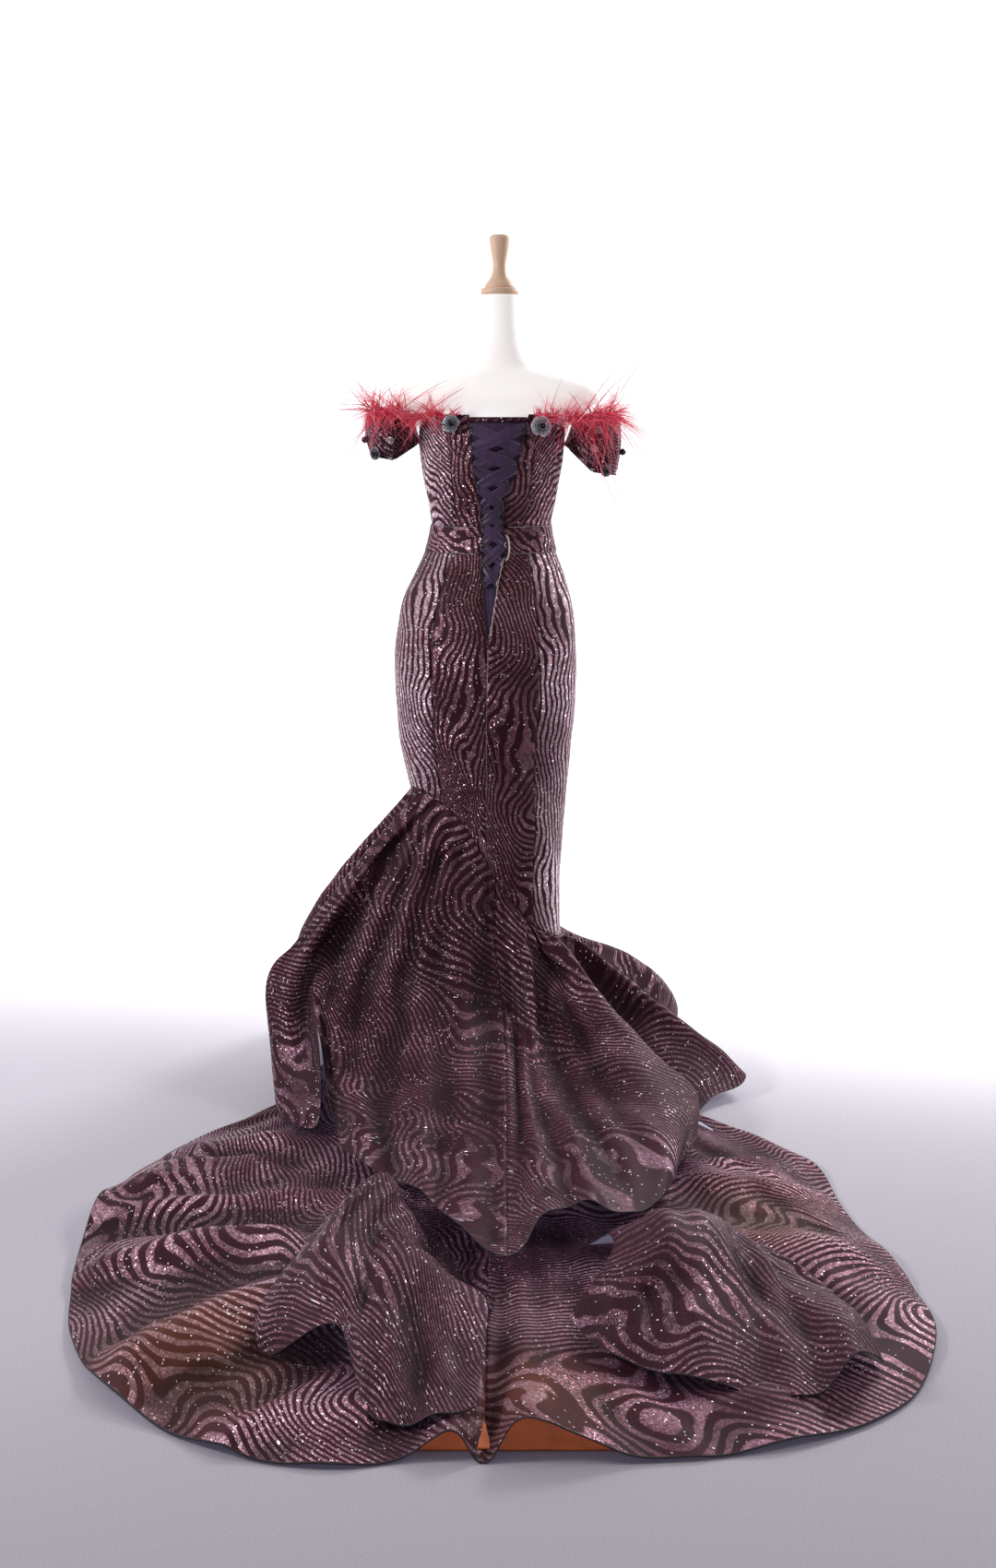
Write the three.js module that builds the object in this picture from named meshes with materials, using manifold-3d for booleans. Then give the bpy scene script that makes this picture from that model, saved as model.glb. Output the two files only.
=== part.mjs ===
import * as THREE from "three";
import Module from "manifold-3d";

// Prom dress on a dress form, in millimetres, +Z up, the back of the dress facing +Y
// Angles run from the centre back: 90 is the wearer's left (+X), 180 the centre front

// Cloth and seams
const WALL = 2;
const THIN_WALL = 1.2;
const SEAM = 0.3;
const SIDE_BACK = 35;
const SIDE_FRONT = 125;

// Heights of the main seams
const WAIST_TOP = 1150;
const WAIST_FOOT = 1098;
const OPENING_FOOT = 921;

// Dress form and stand
const FORM_CLEARANCE = 4;
const FORM_FOOT = 810;
const NECK_TOP = 1600;
const CAP_TOP = 1614;
const FINIAL_TOP = 1714;
const POLE_RADIUS = 14;
const BASE_RADIUS = 145;
const BASE_HEIGHT = 24;

// Body of the dress: half width, depth behind, depth in front and sideways shift at each height
const BODY = [
  { z: 1385, half: 166, back: 88, front: 100, shift: 11 },
  { z: 1345, half: 160, back: 95, front: 112, shift: 12 },
  { z: 1314, half: 147, back: 98, front: 122, shift: 12 },
  { z: 1277, half: 143, back: 96, front: 126, shift: 12 },
  { z: 1241, half: 138, back: 92, front: 118, shift: 13 },
  { z: 1194, half: 129, back: 86, front: 100, shift: 13 },
  { z: 1148, half: 123, back: 82, front: 90, shift: 14 },
  { z: 1098, half: 134, back: 90, front: 92, shift: 15 },
  { z: 1054, half: 152, back: 104, front: 96, shift: 18 },
  { z: 998, half: 173, back: 122, front: 104, shift: 23 },
  { z: 940, half: 183, back: 131, front: 110, shift: 25 },
  { z: 873, half: 189, back: 132, front: 114, shift: 26 },
  { z: 786, half: 187, back: 124, front: 116, shift: 25 },
  { z: 708, half: 180, back: 116, front: 114, shift: 26 },
  { z: 609, half: 166, back: 108, front: 110, shift: 20 },
  { z: 508, half: 146, back: 104, front: 106, shift: 8 },
  { z: 407, half: 135, back: 104, front: 104, shift: 4 },
  { z: 304, half: 136, back: 108, front: 106, shift: 2 },
  { z: 240, half: 140, back: 112, front: 108, shift: 0 },
];

// Dress form: the same columns, with the squareness of each section
const FORM = [
  { z: 1600, half: 39, back: 39, front: 39, shift: -3, square: 2 },
  { z: 1560, half: 40, back: 40, front: 40, shift: -3, square: 2 },
  { z: 1500, half: 50, back: 45, front: 45, shift: -2, square: 2 },
  { z: 1462, half: 76, back: 47, front: 47, shift: 0, square: 2 },
  { z: 1450, half: 118, back: 49, front: 49, shift: 0, square: 2.2 },
  { z: 1436, half: 168, back: 52, front: 51, shift: 1, square: 2.3 },
  { z: 1422, half: 196, back: 56, front: 54, shift: 2, square: 2.3 },
  { z: 1404, half: 203, back: 62, front: 62, shift: 3, square: 2.2 },
  { z: 1380, half: 186, back: 68, front: 74, shift: 5, square: 2.1 },
  { z: 1350, half: 154, back: 80, front: 94, shift: 8, square: 2 },
  { z: 1314, half: 140, back: 91, front: 112, shift: 11, square: 2 },
];

// Top edge of the bodice and knee seam of the skirt, height at each angle
const NECKLINE = [
  { at: 0, z: 1368 },
  { at: 40, z: 1369 },
  { at: 55, z: 1361 },
  { at: 68, z: 1338 },
  { at: 82, z: 1314 },
  { at: 100, z: 1310 },
  { at: 116, z: 1328 },
  { at: 140, z: 1352 },
  { at: 160, z: 1356 },
  { at: 180, z: 1342 },
];
const KNEE = [
  { at: -180, z: 430 },
  { at: -130, z: 330 },
  { at: -90, z: 280 },
  { at: -35, z: 325 },
  { at: 0, z: 430 },
  { at: 35, z: 585 },
  { at: 90, z: 600 },
  { at: 130, z: 520 },
  { at: 180, z: 430 },
];

// Edges of the laced opening, meeting in the centre back seam below it
const OPENING = [
  { z: 1385, left: 56, right: -64 },
  { z: 1364, left: 56, right: -59 },
  { z: 1294, left: 51, right: -42 },
  { z: 1245, left: 45, right: -29 },
  { z: 1207, left: 37.5, right: -13 },
  { z: 1153, left: 33, right: -9 },
  { z: 1110, left: 32, right: -16 },
  { z: 1072, left: 31, right: -7 },
  { z: 1040, left: 30, right: 0 },
  { z: 1003, left: 29, right: 6 },
  { z: 938, left: 23, right: 17 },
  { z: 921, left: 20, right: 20 },
  { z: 760, left: 23, right: 23 },
  { z: 534, left: 24, right: 24 },
  { z: 430, left: 19, right: 19 },
  { z: 337, left: 13, right: 13 },
  { z: 240, left: 4, right: 4 },
];

// Upper flounce: one row per fold, from the centre back round by the left and the front
const FLOUNCE = [
  { at: 0, high: [8, 126, 330], mid: [-10, 207, 172],
    low: [-16, 425, 98], sweep: [-14, 800, 76], hem: [-14, 1045, 84] },
  { at: 12, high: [55, 133, 390], mid: [72, 222, 205],
    low: [74, 415, 98], sweep: [66, 680, 84], hem: [84, 905, 82] },
  { at: 22, high: [110, 128, 440], mid: [160, 208, 235],
    low: [175, 400, 112], sweep: [160, 620, 90], hem: [140, 800, 76] },
  { at: 29, high: [135, 112, 500], mid: [228, 190, 240],
    low: [262, 335, 130], sweep: [262, 500, 92], hem: [235, 665, 58] },
  { at: 34, high: [160, 100, 520], mid: [288, 174, 265],
    low: [326, 286, 176], sweep: [318, 402, 96], hem: [300, 522, 52] },
  { at: 39, high: [190, 92, 525], mid: [335, 142, 305],
    low: [368, 205, 240], sweep: [370, 250, 208], hem: [362, 285, 180] },
  { at: 46, high: [205, 96, 535], mid: [362, 160, 340],
    low: [420, 232, 235], sweep: [405, 320, 110], hem: [345, 455, 40] },
  { at: 54, high: [222, 82, 540], mid: [378, 138, 345],
    low: [468, 205, 265], sweep: [462, 248, 130], hem: [442, 325, 22] },
  { at: 63, high: [205, 52, 535], mid: [330, 82, 350],
    low: [425, 112, 230], sweep: [440, 142, 115], hem: [440, 185, 22] },
  { at: 73, high: [195, 20, 545], mid: [305, 32, 370],
    low: [385, 42, 230], sweep: [425, 52, 115], hem: [440, 60, 18] },
  { at: 86, high: [215, -12, 556], mid: [335, -8, 420],
    low: [425, -30, 290], sweep: [462, -42, 150], hem: [474, -50, 12] },
  { at: 104, high: [180, -62, 530], mid: [270, -112, 370],
    low: [350, -172, 230], sweep: [392, -202, 115], hem: [405, -225, 8] },
  { at: 130, high: [122, -118, 430], mid: [178, -182, 290],
    low: [232, -250, 160], sweep: [265, -290, 75], hem: [292, -330, 6] },
  { at: 155, high: [58, -128, 380], mid: [86, -186, 262],
    low: [118, -262, 142], sweep: [138, -318, 66], hem: [156, -392, 6] },
  { at: 180, high: [2, -126, 352], mid: [2, -182, 245],
    low: [0, -262, 135], sweep: [0, -325, 62], hem: [0, -410, 6] },
  { at: 205, high: [-54, -122, 318], mid: [-84, -176, 226],
    low: [-118, -246, 130], sweep: [-142, -304, 62], hem: [-160, -382, 6] },
  { at: 231, high: [-105, -104, 278], mid: [-168, -158, 200],
    low: [-232, -222, 118], sweep: [-272, -262, 58], hem: [-304, -306, 6] },
  { at: 256, high: [-168, -52, 262], mid: [-292, -80, 208],
    low: [-368, -100, 140], sweep: [-400, -112, 76], hem: [-398, -120, 26] },
  { at: 272, high: [-152, -8, 252], mid: [-230, 4, 190],
    low: [-305, 20, 116], sweep: [-342, 36, 62], hem: [-358, 56, 26] },
  { at: 287, high: [-178, 40, 272], mid: [-305, 78, 180],
    low: [-402, 128, 116], sweep: [-470, 172, 74], hem: [-508, 208, 40] },
  { at: 297, high: [-140, 56, 258], mid: [-236, 100, 140],
    low: [-330, 176, 76], sweep: [-388, 232, 48], hem: [-428, 288, 22] },
  { at: 306, high: [-118, 84, 262], mid: [-196, 146, 140],
    low: [-272, 248, 72], sweep: [-330, 330, 48], hem: [-370, 420, 26] },
  { at: 315, high: [-142, 112, 282], mid: [-222, 218, 200],
    low: [-308, 322, 142], sweep: [-384, 425, 92], hem: [-362, 560, 50] },
  { at: 325, high: [-108, 118, 275], mid: [-175, 245, 172],
    low: [-252, 420, 116], sweep: [-300, 600, 86], hem: [-280, 790, 56] },
  { at: 335, high: [-82, 111, 285], mid: [-120, 198, 160],
    low: [-162, 398, 92], sweep: [-196, 660, 88], hem: [-212, 880, 72] },
  { at: 344, high: [-58, 124, 318], mid: [-72, 214, 168],
    low: [-82, 428, 98], sweep: [-112, 680, 96], hem: [-138, 885, 98] },
  { at: 352, high: [-26, 127, 330], mid: [-42, 209, 172],
    low: [-46, 426, 100], sweep: [-62, 700, 92], hem: [-72, 940, 92] },
];

// Train: one row per fold from right to left, hem point and heights inward from the hem
const TRAIN = [
  { at: -112, x: -330, y: 60, hem: 8, outer: 12, inner: 18, foot: 40 },
  { at: -98, x: -372, y: 230, hem: 8, outer: 12, inner: 16, foot: 36 },
  { at: -84, x: -410, y: 380, hem: 10, outer: 12, inner: 16, foot: 30 },
  { at: -72, x: -478, y: 498, hem: 8, outer: 12, inner: 14, foot: 22 },
  { at: -62, x: -556, y: 508, hem: 8, outer: 12, inner: 14, foot: 22 },
  { at: -54, x: -596, y: 598, hem: 8, outer: 15, inner: 14, foot: 26 },
  { at: -46, x: -606, y: 735, hem: 6, outer: 15, inner: 14, foot: 26 },
  { at: -39, x: -630, y: 856, hem: 6, outer: 16, inner: 14, foot: 26 },
  { at: -33, x: -655, y: 966, hem: 6, outer: 18, inner: 14, foot: 26 },
  { at: -27, x: -668, y: 1116, hem: 6, outer: 20, inner: 14, foot: 26 },
  { at: -22, x: -608, y: 1276, hem: 6, outer: 20, inner: 14, foot: 26 },
  { at: -17, x: -520, y: 1362, hem: 8, outer: 18, inner: 14, foot: 26 },
  { at: -13, x: -410, y: 1412, hem: 10, outer: 16, inner: 14, foot: 26 },
  { at: -9.5, x: -300, y: 1440, hem: 8, outer: 16, inner: 14, foot: 26 },
  { at: -6.5, x: -205, y: 1450, hem: 8, outer: 18, inner: 14, foot: 26 },
  { at: -4.5, x: -130, y: 1450, hem: 34, outer: 22, inner: 14, foot: 26 },
  { at: -3, x: -70, y: 1444, hem: 52, outer: 24, inner: 14, foot: 26 },
  { at: -1.5, x: -22, y: 1440, hem: 52, outer: 22, inner: 14, foot: 26 },
  { at: 0, x: 20, y: 1452, hem: 4, outer: 18, inner: 14, foot: 26 },
  { at: 2, x: 62, y: 1438, hem: 40, outer: 22, inner: 14, foot: 26 },
  { at: 4.5, x: 128, y: 1450, hem: 8, outer: 20, inner: 14, foot: 26 },
  { at: 7.5, x: 215, y: 1464, hem: 6, outer: 20, inner: 14, foot: 26 },
  { at: 11, x: 320, y: 1450, hem: 6, outer: 20, inner: 14, foot: 26 },
  { at: 15, x: 418, y: 1408, hem: 6, outer: 22, inner: 14, foot: 26 },
  { at: 20, x: 508, y: 1345, hem: 6, outer: 24, inner: 14, foot: 26 },
  { at: 26, x: 584, y: 1268, hem: 10, outer: 26, inner: 14, foot: 26 },
  { at: 32, x: 648, y: 1140, hem: 8, outer: 24, inner: 14, foot: 26 },
  { at: 38, x: 678, y: 1010, hem: 8, outer: 20, inner: 14, foot: 26 },
  { at: 44, x: 694, y: 880, hem: 14, outer: 20, inner: 14, foot: 26 },
  { at: 51, x: 690, y: 752, hem: 46, outer: 30, inner: 14, foot: 26 },
  { at: 57, x: 672, y: 645, hem: 18, outer: 18, inner: 14, foot: 26 },
  { at: 63, x: 640, y: 552, hem: 10, outer: 20, inner: 16, foot: 26 },
  { at: 70, x: 588, y: 470, hem: 8, outer: 17, inner: 16, foot: 26 },
  { at: 78, x: 520, y: 388, hem: 6, outer: 13, inner: 14, foot: 28 },
  { at: 88, x: 448, y: 296, hem: 6, outer: 10, inner: 14, foot: 30 },
  { at: 99, x: 408, y: 180, hem: 8, outer: 12, inner: 18, foot: 38 },
  { at: 112, x: 366, y: 40, hem: 8, outer: 12, inner: 18, foot: 40 },
];

// Soft ridges and troughs on the train: line on the floor plan, height and half width
const TRAIN_RIDGES = [
  { from: [330, 1085], to: [520, 1250], lift: 46, width: 62 },
  { from: [395, 905], to: [600, 940], lift: 30, width: 70 },
  { from: [450, 650], to: [598, 700], lift: 32, width: 46 },
  { from: [430, 490], to: [556, 548], lift: 26, width: 42 },
  { from: [150, 1330], to: [360, 1400], lift: 16, width: 45 },
  { from: [-390, 620], to: [-490, 640], lift: 12, width: 40 },
  { from: [-330, 1000], to: [-620, 900], lift: 12, width: 70 },
  { from: [-300, 1330], to: [-560, 1230], lift: 10, width: 50 },
];

// Middle ruffles on the train, one row per fold from right to left
const RUFFLE_RIGHT = [
  { seam: [-405, 880, 36], rise: [-460, 965, 50], mid: [-510, 1065, 52],
    low: [-545, 1165, 50], hem: [-560, 1250, 34] },
  { seam: [-385, 860, 36], rise: [-430, 955, 56], mid: [-475, 1065, 60],
    low: [-505, 1190, 84], hem: [-508, 1302, 80] },
  { seam: [-360, 840, 34], rise: [-395, 945, 66], mid: [-425, 1060, 66],
    low: [-438, 1200, 64], hem: [-452, 1330, 34] },
  { seam: [-335, 830, 32], rise: [-365, 940, 92], mid: [-380, 1050, 92],
    low: [-380, 1200, 70], hem: [-378, 1332, 30] },
  { seam: [-300, 830, 30], rise: [-328, 960, 122], mid: [-334, 1070, 132],
    low: [-320, 1200, 92], hem: [-300, 1322, 46] },
  { seam: [-256, 850, 28], rise: [-280, 985, 140], mid: [-286, 1080, 152],
    low: [-262, 1180, 100], hem: [-232, 1300, 48] },
  { seam: [-205, 880, 28], rise: [-228, 1000, 132], mid: [-232, 1085, 146],
    low: [-190, 1160, 104], hem: [-150, 1242, 48] },
  { seam: [-150, 890, 28], rise: [-172, 1000, 104], mid: [-176, 1070, 122],
    low: [-150, 1120, 100], hem: [-104, 1170, 56] },
];
const RUFFLE_LEFT = [
  { seam: [2, 1050, 26], rise: [6, 1110, 40], mid: [12, 1170, 78],
    low: [18, 1260, 74], hem: [30, 1395, 50] },
  { seam: [50, 1010, 26], rise: [58, 1080, 50], mid: [66, 1150, 108],
    low: [72, 1260, 78], hem: [76, 1408, 50] },
  { seam: [95, 880, 26], rise: [110, 990, 60], mid: [126, 1105, 132],
    low: [136, 1225, 86], hem: [140, 1395, 28] },
  { seam: [140, 800, 26], rise: [150, 920, 96], mid: [190, 1090, 128],
    low: [196, 1210, 112], hem: [184, 1372, 36] },
  { seam: [165, 760, 26], rise: [172, 890, 130], mid: [232, 1070, 150],
    low: [240, 1170, 142], hem: [230, 1265, 100] },
  { seam: [190, 720, 26], rise: [196, 860, 140], mid: [250, 1040, 165],
    low: [306, 1170, 108], hem: [332, 1236, 34] },
  { seam: [225, 700, 30], rise: [240, 840, 84], mid: [296, 1010, 84],
    low: [342, 1130, 84], hem: [362, 1195, 56] },
];

// Sleeve bands: centre, half sizes, heights of the top and cuff and how they slope outward,
// how far the top dips and the cuff rises on the side toward the body
const SLEEVES = {
  left: {
    x: 212, halfAcross: 51, halfDeep: 57, top: 1374, topSlope: 3, topDip: 56,
    cuff: 1281, cuffSlope: 8, cuffRise: 38,
  },
  right: {
    x: -193, halfAcross: 52, halfDeep: 57, top: 1370, topSlope: -1, topDip: 52,
    cuff: 1257, cuffSlope: -7, cuffRise: 38,
  },
};
const DIP_START = 0.62;

// Feather trim: line of the strip, number of stations and longest lock on each side
const FEATHERS = {
  left: {
    line: [
      [82, 88, 1364], [112, 79, 1366], [138, 68, 1364], [166, 60, 1365],
      [192, 62, 1368], [214, 66, 1370], [236, 62, 1371], [252, 50, 1373],
    ],
    stations: 14,
    seed: 7,
  },
  right: {
    line: [
      [-72, 84, 1364], [-100, 75, 1365], [-122, 66, 1362], [-150, 59, 1362],
      [-172, 61, 1363], [-192, 65, 1365], [-214, 61, 1365], [-230, 49, 1366],
    ],
    stations: 14,
    seed: 5,
  },
};
const STRIP_HEIGHT = 7;
const STRIP_THICK = 2;
const LOCK_ROOT = 1.5;

// Feather locks: lean from upright and its change along the strip, length and its growth
const LOCKS = {
  left: [
    { rise: 1.4, lean: -12, turn: 26, length: 22, growth: 52, droop: 0.05 },
    { rise: 0, lean: 60, turn: 28, length: 20, growth: 42, droop: 0 },
    { rise: -1.4, lean: 170, turn: -35, length: 26, growth: 24, droop: -0.12 },
  ],
  right: [
    { rise: 1.4, lean: -10, turn: 62, length: 24, growth: 26, droop: -0.1 },
    { rise: 0, lean: 58, turn: 44, length: 20, growth: 52, droop: -0.35 },
    { rise: -1.4, lean: 170, turn: -28, length: 26, growth: 36, droop: -0.15 },
  ],
};

// Roses, bead flowers, leaves and black beads: place seen from the back and size
const ROSES = [
  { name: "rosette_back_left", x: 93, y: 95, z: 1352, radius: 17, turn: [0.15, 1, 0.12] },
  { name: "rosette_back_right", x: -87, y: 94, z: 1347, radius: 21, turn: [-0.25, 1, 0.1] },
  { name: "rosette_cuff_left", x: 248, y: 48, z: 1293, radius: 13, turn: [0.75, 1, -0.1] },
  { name: "rosette_cuff_right", x: -217, y: 52, z: 1260, radius: 13, turn: [-0.65, 1, -0.1] },
];
const FLOWERS = [
  { name: "bead_flower_1", x: 128, y: 78, z: 1360, radius: 8 },
  { name: "bead_flower_2", x: -200, y: 70, z: 1340, radius: 8.5 },
  { name: "bead_flower_3", x: 213, y: 68, z: 1319, radius: 7.5 },
  { name: "bead_flower_4", x: -123, y: 76, z: 1356, radius: 8 },
  { name: "bead_flower_5", x: -192, y: 70, z: 1303, radius: 7.5 },
];
const BEADS = [
  { name: "black_bead_left", x: 275, y: 22, z: 1320, radius: 7 },
  { name: "black_bead_right", x: -252, y: 22, z: 1296, radius: 7 },
];

// Lacing ribbon: height of each turn and half width
const LACING_TOP = 1342;
const LACING_FOOT = 1040;
const LACING_CROSSINGS = 8;
const RIBBON_HALF = 7.5;
const RIBBON_THICK = 1.2;

const RAD = Math.PI / 180;
const group = new THREE.Group();
group.name = "prom_dress";
const wasm = await Module();
wasm.setup();

// Smooth reading of a table column at a given key
function slopeAt(rows, key, column, i) {
  const a = rows[Math.max(i - 1, 0)];
  const b = rows[Math.min(i + 1, rows.length - 1)];
  return (b[column] - a[column]) / (b[key] - a[key] || 1);
}

function read(rows, key, column, value) {
  const up = rows[1][key] > rows[0][key];
  let i = 0;
  while (i < rows.length - 2 && (up ? rows[i + 1][key] < value : rows[i + 1][key] > value)) i += 1;
  const a = rows[i];
  const b = rows[i + 1];
  const span = b[key] - a[key];
  const t = Math.min(Math.max((value - a[key]) / span, 0), 1);
  const m0 = slopeAt(rows, key, column, i) * span;
  const m1 = slopeAt(rows, key, column, i + 1) * span;
  const t2 = t * t;
  const t3 = t2 * t;
  return (2 * t3 - 3 * t2 + 1) * a[column] + (t3 - 2 * t2 + t) * m0
    + (3 * t2 - 2 * t3) * b[column] + (t3 - t2) * m1;
}

// Point of a closed section at an angle, moved out by a clearance
function sectionPoint(row, angle, out = 0) {
  const power = 2 / (row.square || 2);
  const s = Math.sin(angle * RAD);
  const c = Math.cos(angle * RAD);
  const depth = (c > 0 ? row.back : row.front) + out;
  const x = row.shift + (row.half + out) * Math.sign(s) * Math.abs(s) ** power;
  const y = depth * Math.sign(c) * Math.abs(c) ** power;
  return new THREE.Vector3(x, y, row.z);
}

function bodyRow(z) {
  const row = { z };
  for (const column of ["half", "back", "front", "shift"]) row[column] = read(BODY, "z", column, z);
  return row;
}

function bodyPoint(angle, z, out = 0) {
  return sectionPoint(bodyRow(z), angle, out);
}

function angleOfX(x, z) {
  const row = bodyRow(z);
  return Math.asin((x - row.shift) / row.half) / RAD;
}

function kneeHeight(angle) {
  let turned = angle;
  while (turned > 180) turned -= 360;
  return read(KNEE, "at", "z", turned);
}

function necklineHeight(angle) {
  let turned = Math.abs(angle);
  if (turned > 180) turned = 360 - turned;
  return read(NECKLINE, "at", "z", turned);
}

// Smooth curve through points, with a number of steps in each span
function curveThrough(points, steps, closed = false) {
  const n = points.length;
  const at = (i) => (closed ? points[(i + n) % n] : points[Math.min(Math.max(i, 0), n - 1)]);
  const spans = closed ? n : n - 1;
  const curve = [];
  for (let i = 0; i < spans; i += 1) {
    const [p0, p1, p2, p3] = [at(i - 1), at(i), at(i + 1), at(i + 2)];
    const count = Array.isArray(steps) ? steps[i] : steps;
    for (let k = 0; k < count; k += 1) {
      const t = k / count;
      const point = p1.clone().multiplyScalar(2);
      point.addScaledVector(p2.clone().sub(p0), t);
      const second = p0.clone().multiplyScalar(2).addScaledVector(p1, -5).addScaledVector(p2, 4).sub(p3);
      point.addScaledVector(second, t * t);
      const third = p1.clone().multiplyScalar(3).sub(p0).addScaledVector(p2, -3).add(p3);
      point.addScaledVector(third, t * t * t);
      curve.push(point.multiplyScalar(0.5));
    }
  }
  if (!closed) curve.push(points[n - 1].clone());
  return curve;
}

// Cloth surface from fold rows: points run down each row, then smoothly across the rows
function clothFrom(rows, down, across, closed = false) {
  const lines = rows.map((row) => curveThrough(row, down));
  const grid = [];
  for (let i = 0; i < lines[0].length; i += 1) {
    grid.push(curveThrough(lines.map((line) => line[i]), across, closed));
  }
  return grid;
}

// Outward direction at every point of a grid
function normalsOf(grid, closed = false) {
  const rows = grid.length;
  const cols = grid[0].length;
  return grid.map((line, i) => line.map((point, j) => {
    const before = closed ? (j - 1 + cols) % cols : Math.max(j - 1, 0);
    const after = closed ? (j + 1) % cols : Math.min(j + 1, cols - 1);
    const along = grid[i][after].clone().sub(grid[i][before]);
    const down = grid[Math.min(i + 1, rows - 1)][j].clone().sub(grid[Math.max(i - 1, 0)][j]);
    return along.cross(down).normalize();
  }));
}

function geometryOf(positions, faces) {
  const geometry = new THREE.BufferGeometry();
  geometry.setAttribute("position", new THREE.Float32BufferAttribute(positions.flat(), 3));
  geometry.setIndex(faces.flat());
  return geometry;
}

function addMesh(name, positions, faces, color, roughness = 0.7, metalness = 0) {
  const geometry = geometryOf(positions, faces);
  const material = new THREE.MeshStandardMaterial({ color, roughness, metalness });
  const mesh = new THREE.Mesh(geometry, material);
  mesh.name = name;
  group.add(mesh);
  return mesh;
}

// Closed wall from the columns first to last of a grid, with a seam gap at its side edges
function wallData(grid, normals, first, last, thickness) {
  const cols = grid[0].length;
  const width = last - first + 1;
  const positions = [];
  for (const depth of [0, thickness]) {
    grid.forEach((line, i) => {
      for (let j = first; j <= last; j += 1) {
        const here = (j + cols) % cols;
        const point = line[here].clone();
        const step = j === first ? 1 : -1;
        if (j === first || j === last) {
          const inward = line[(j + step + cols) % cols].clone().sub(point).normalize();
          point.addScaledVector(inward, SEAM / 2);
        }
        point.addScaledVector(normals[i][here], -depth);
        positions.push([point.x, point.y, point.z]);
      }
    });
  }
  const rows = grid.length;
  const faces = [];
  const inner = rows * width;
  for (let i = 0; i < rows - 1; i += 1) {
    for (let j = 0; j < width - 1; j += 1) {
      const a = i * width + j;
      const b = a + 1;
      const d = a + width;
      const c = d + 1;
      faces.push([a, b, c], [a, c, d]);
      faces.push([inner + a, inner + c, inner + b], [inner + a, inner + d, inner + c]);
    }
  }
  for (let j = 0; j < width - 1; j += 1) {
    const b = j + 1;
    faces.push([inner + j, inner + b, b], [inner + j, b, j]);
    const a = (rows - 1) * width + j;
    faces.push([a, a + 1, inner + a + 1], [a, inner + a + 1, inner + a]);
  }
  for (let i = 0; i < rows - 1; i += 1) {
    const a = i * width;
    const d = a + width;
    faces.push([a, d, inner + d], [a, inner + d, inner + a]);
    const e = a + width - 1;
    const f = e + width;
    faces.push([e, inner + f, f], [e, inner + e, inner + f]);
  }
  return { positions, faces };
}

function addWall(name, grid, normals, first, last, thickness, color, roughness = 0.7) {
  const { positions, faces } = wallData(grid, normals, first, last, thickness);
  return addMesh(name, positions, faces, color, roughness);
}

// Closed ring wall from a grid whose columns run all the way round
function addRingWall(name, grid, normals, thickness, color, roughness = 0.7) {
  const rows = grid.length;
  const cols = grid[0].length;
  const positions = [];
  for (const depth of [0, thickness]) {
    grid.forEach((line, i) => line.forEach((p, j) => {
      const point = p.clone().addScaledVector(normals[i][j], -depth);
      positions.push([point.x, point.y, point.z]);
    }));
  }
  const faces = [];
  const inner = rows * cols;
  for (let i = 0; i < rows - 1; i += 1) {
    for (let j = 0; j < cols; j += 1) {
      const k = (j + 1) % cols;
      const [a, b, c, d] = [i * cols + j, i * cols + k, (i + 1) * cols + k, (i + 1) * cols + j];
      faces.push([a, b, c], [a, c, d]);
      faces.push([inner + a, inner + c, inner + b], [inner + a, inner + d, inner + c]);
    }
  }
  for (let j = 0; j < cols; j += 1) {
    const k = (j + 1) % cols;
    faces.push([inner + j, inner + k, k], [inner + j, k, j]);
    const a = (rows - 1) * cols + j;
    const b = (rows - 1) * cols + k;
    faces.push([a, b, inner + b], [a, inner + b, inner + a]);
  }
  return addMesh(name, positions, faces, color, roughness);
}

// Filled body from rings listed from the top down
function addSolid(name, rings, color, roughness, metalness = 0) {
  const cols = rings[0].length;
  const positions = rings.flat().map((p) => [p.x, p.y, p.z]);
  const faces = [];
  for (let i = 0; i < rings.length - 1; i += 1) {
    for (let j = 0; j < cols; j += 1) {
      const k = (j + 1) % cols;
      const [a, b, c, d] = [i * cols + j, i * cols + k, (i + 1) * cols + k, (i + 1) * cols + j];
      faces.push([a, b, c], [a, c, d]);
    }
  }
  const ends = [rings[0], rings[rings.length - 1]];
  ends.forEach((ring, end) => {
    const centre = ring.reduce((sum, p) => sum.add(p), new THREE.Vector3()).divideScalar(cols);
    const hub = positions.length;
    positions.push([centre.x, centre.y, centre.z]);
    const start = end ? (rings.length - 1) * cols : 0;
    for (let j = 0; j < cols; j += 1) {
      const k = (j + 1) % cols;
      faces.push(end ? [hub, start + j, start + k] : [hub, start + k, start + j]);
    }
  });
  return addMesh(name, positions, faces, color, roughness, metalness);
}

function turnedRings(profile, cols, x = 0, y = 0) {
  return profile.map(([radius, z]) => {
    const ring = [];
    for (let j = 0; j < cols; j += 1) {
      const angle = (360 * j) / cols;
      const across = radius * Math.sin(angle * RAD);
      const deep = radius * Math.cos(angle * RAD);
      ring.push(new THREE.Vector3(x + across, y + deep, z));
    }
    return ring;
  });
}

// Stand and dress form
const COLORS = {
  sequin: 0x6e5058,
  purple: 0x46305c,
  lining: 0x8f8ba4,
  copper: 0x96430f,
  feather: 0xb8324c,
  form: 0xe9e7e4,
  wood: 0xd8b8a0,
  pole: 0xb9b9bb,
  rose: 0x55565c,
  silver: 0xb9b6ba,
  black: 0x151417,
};

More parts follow.
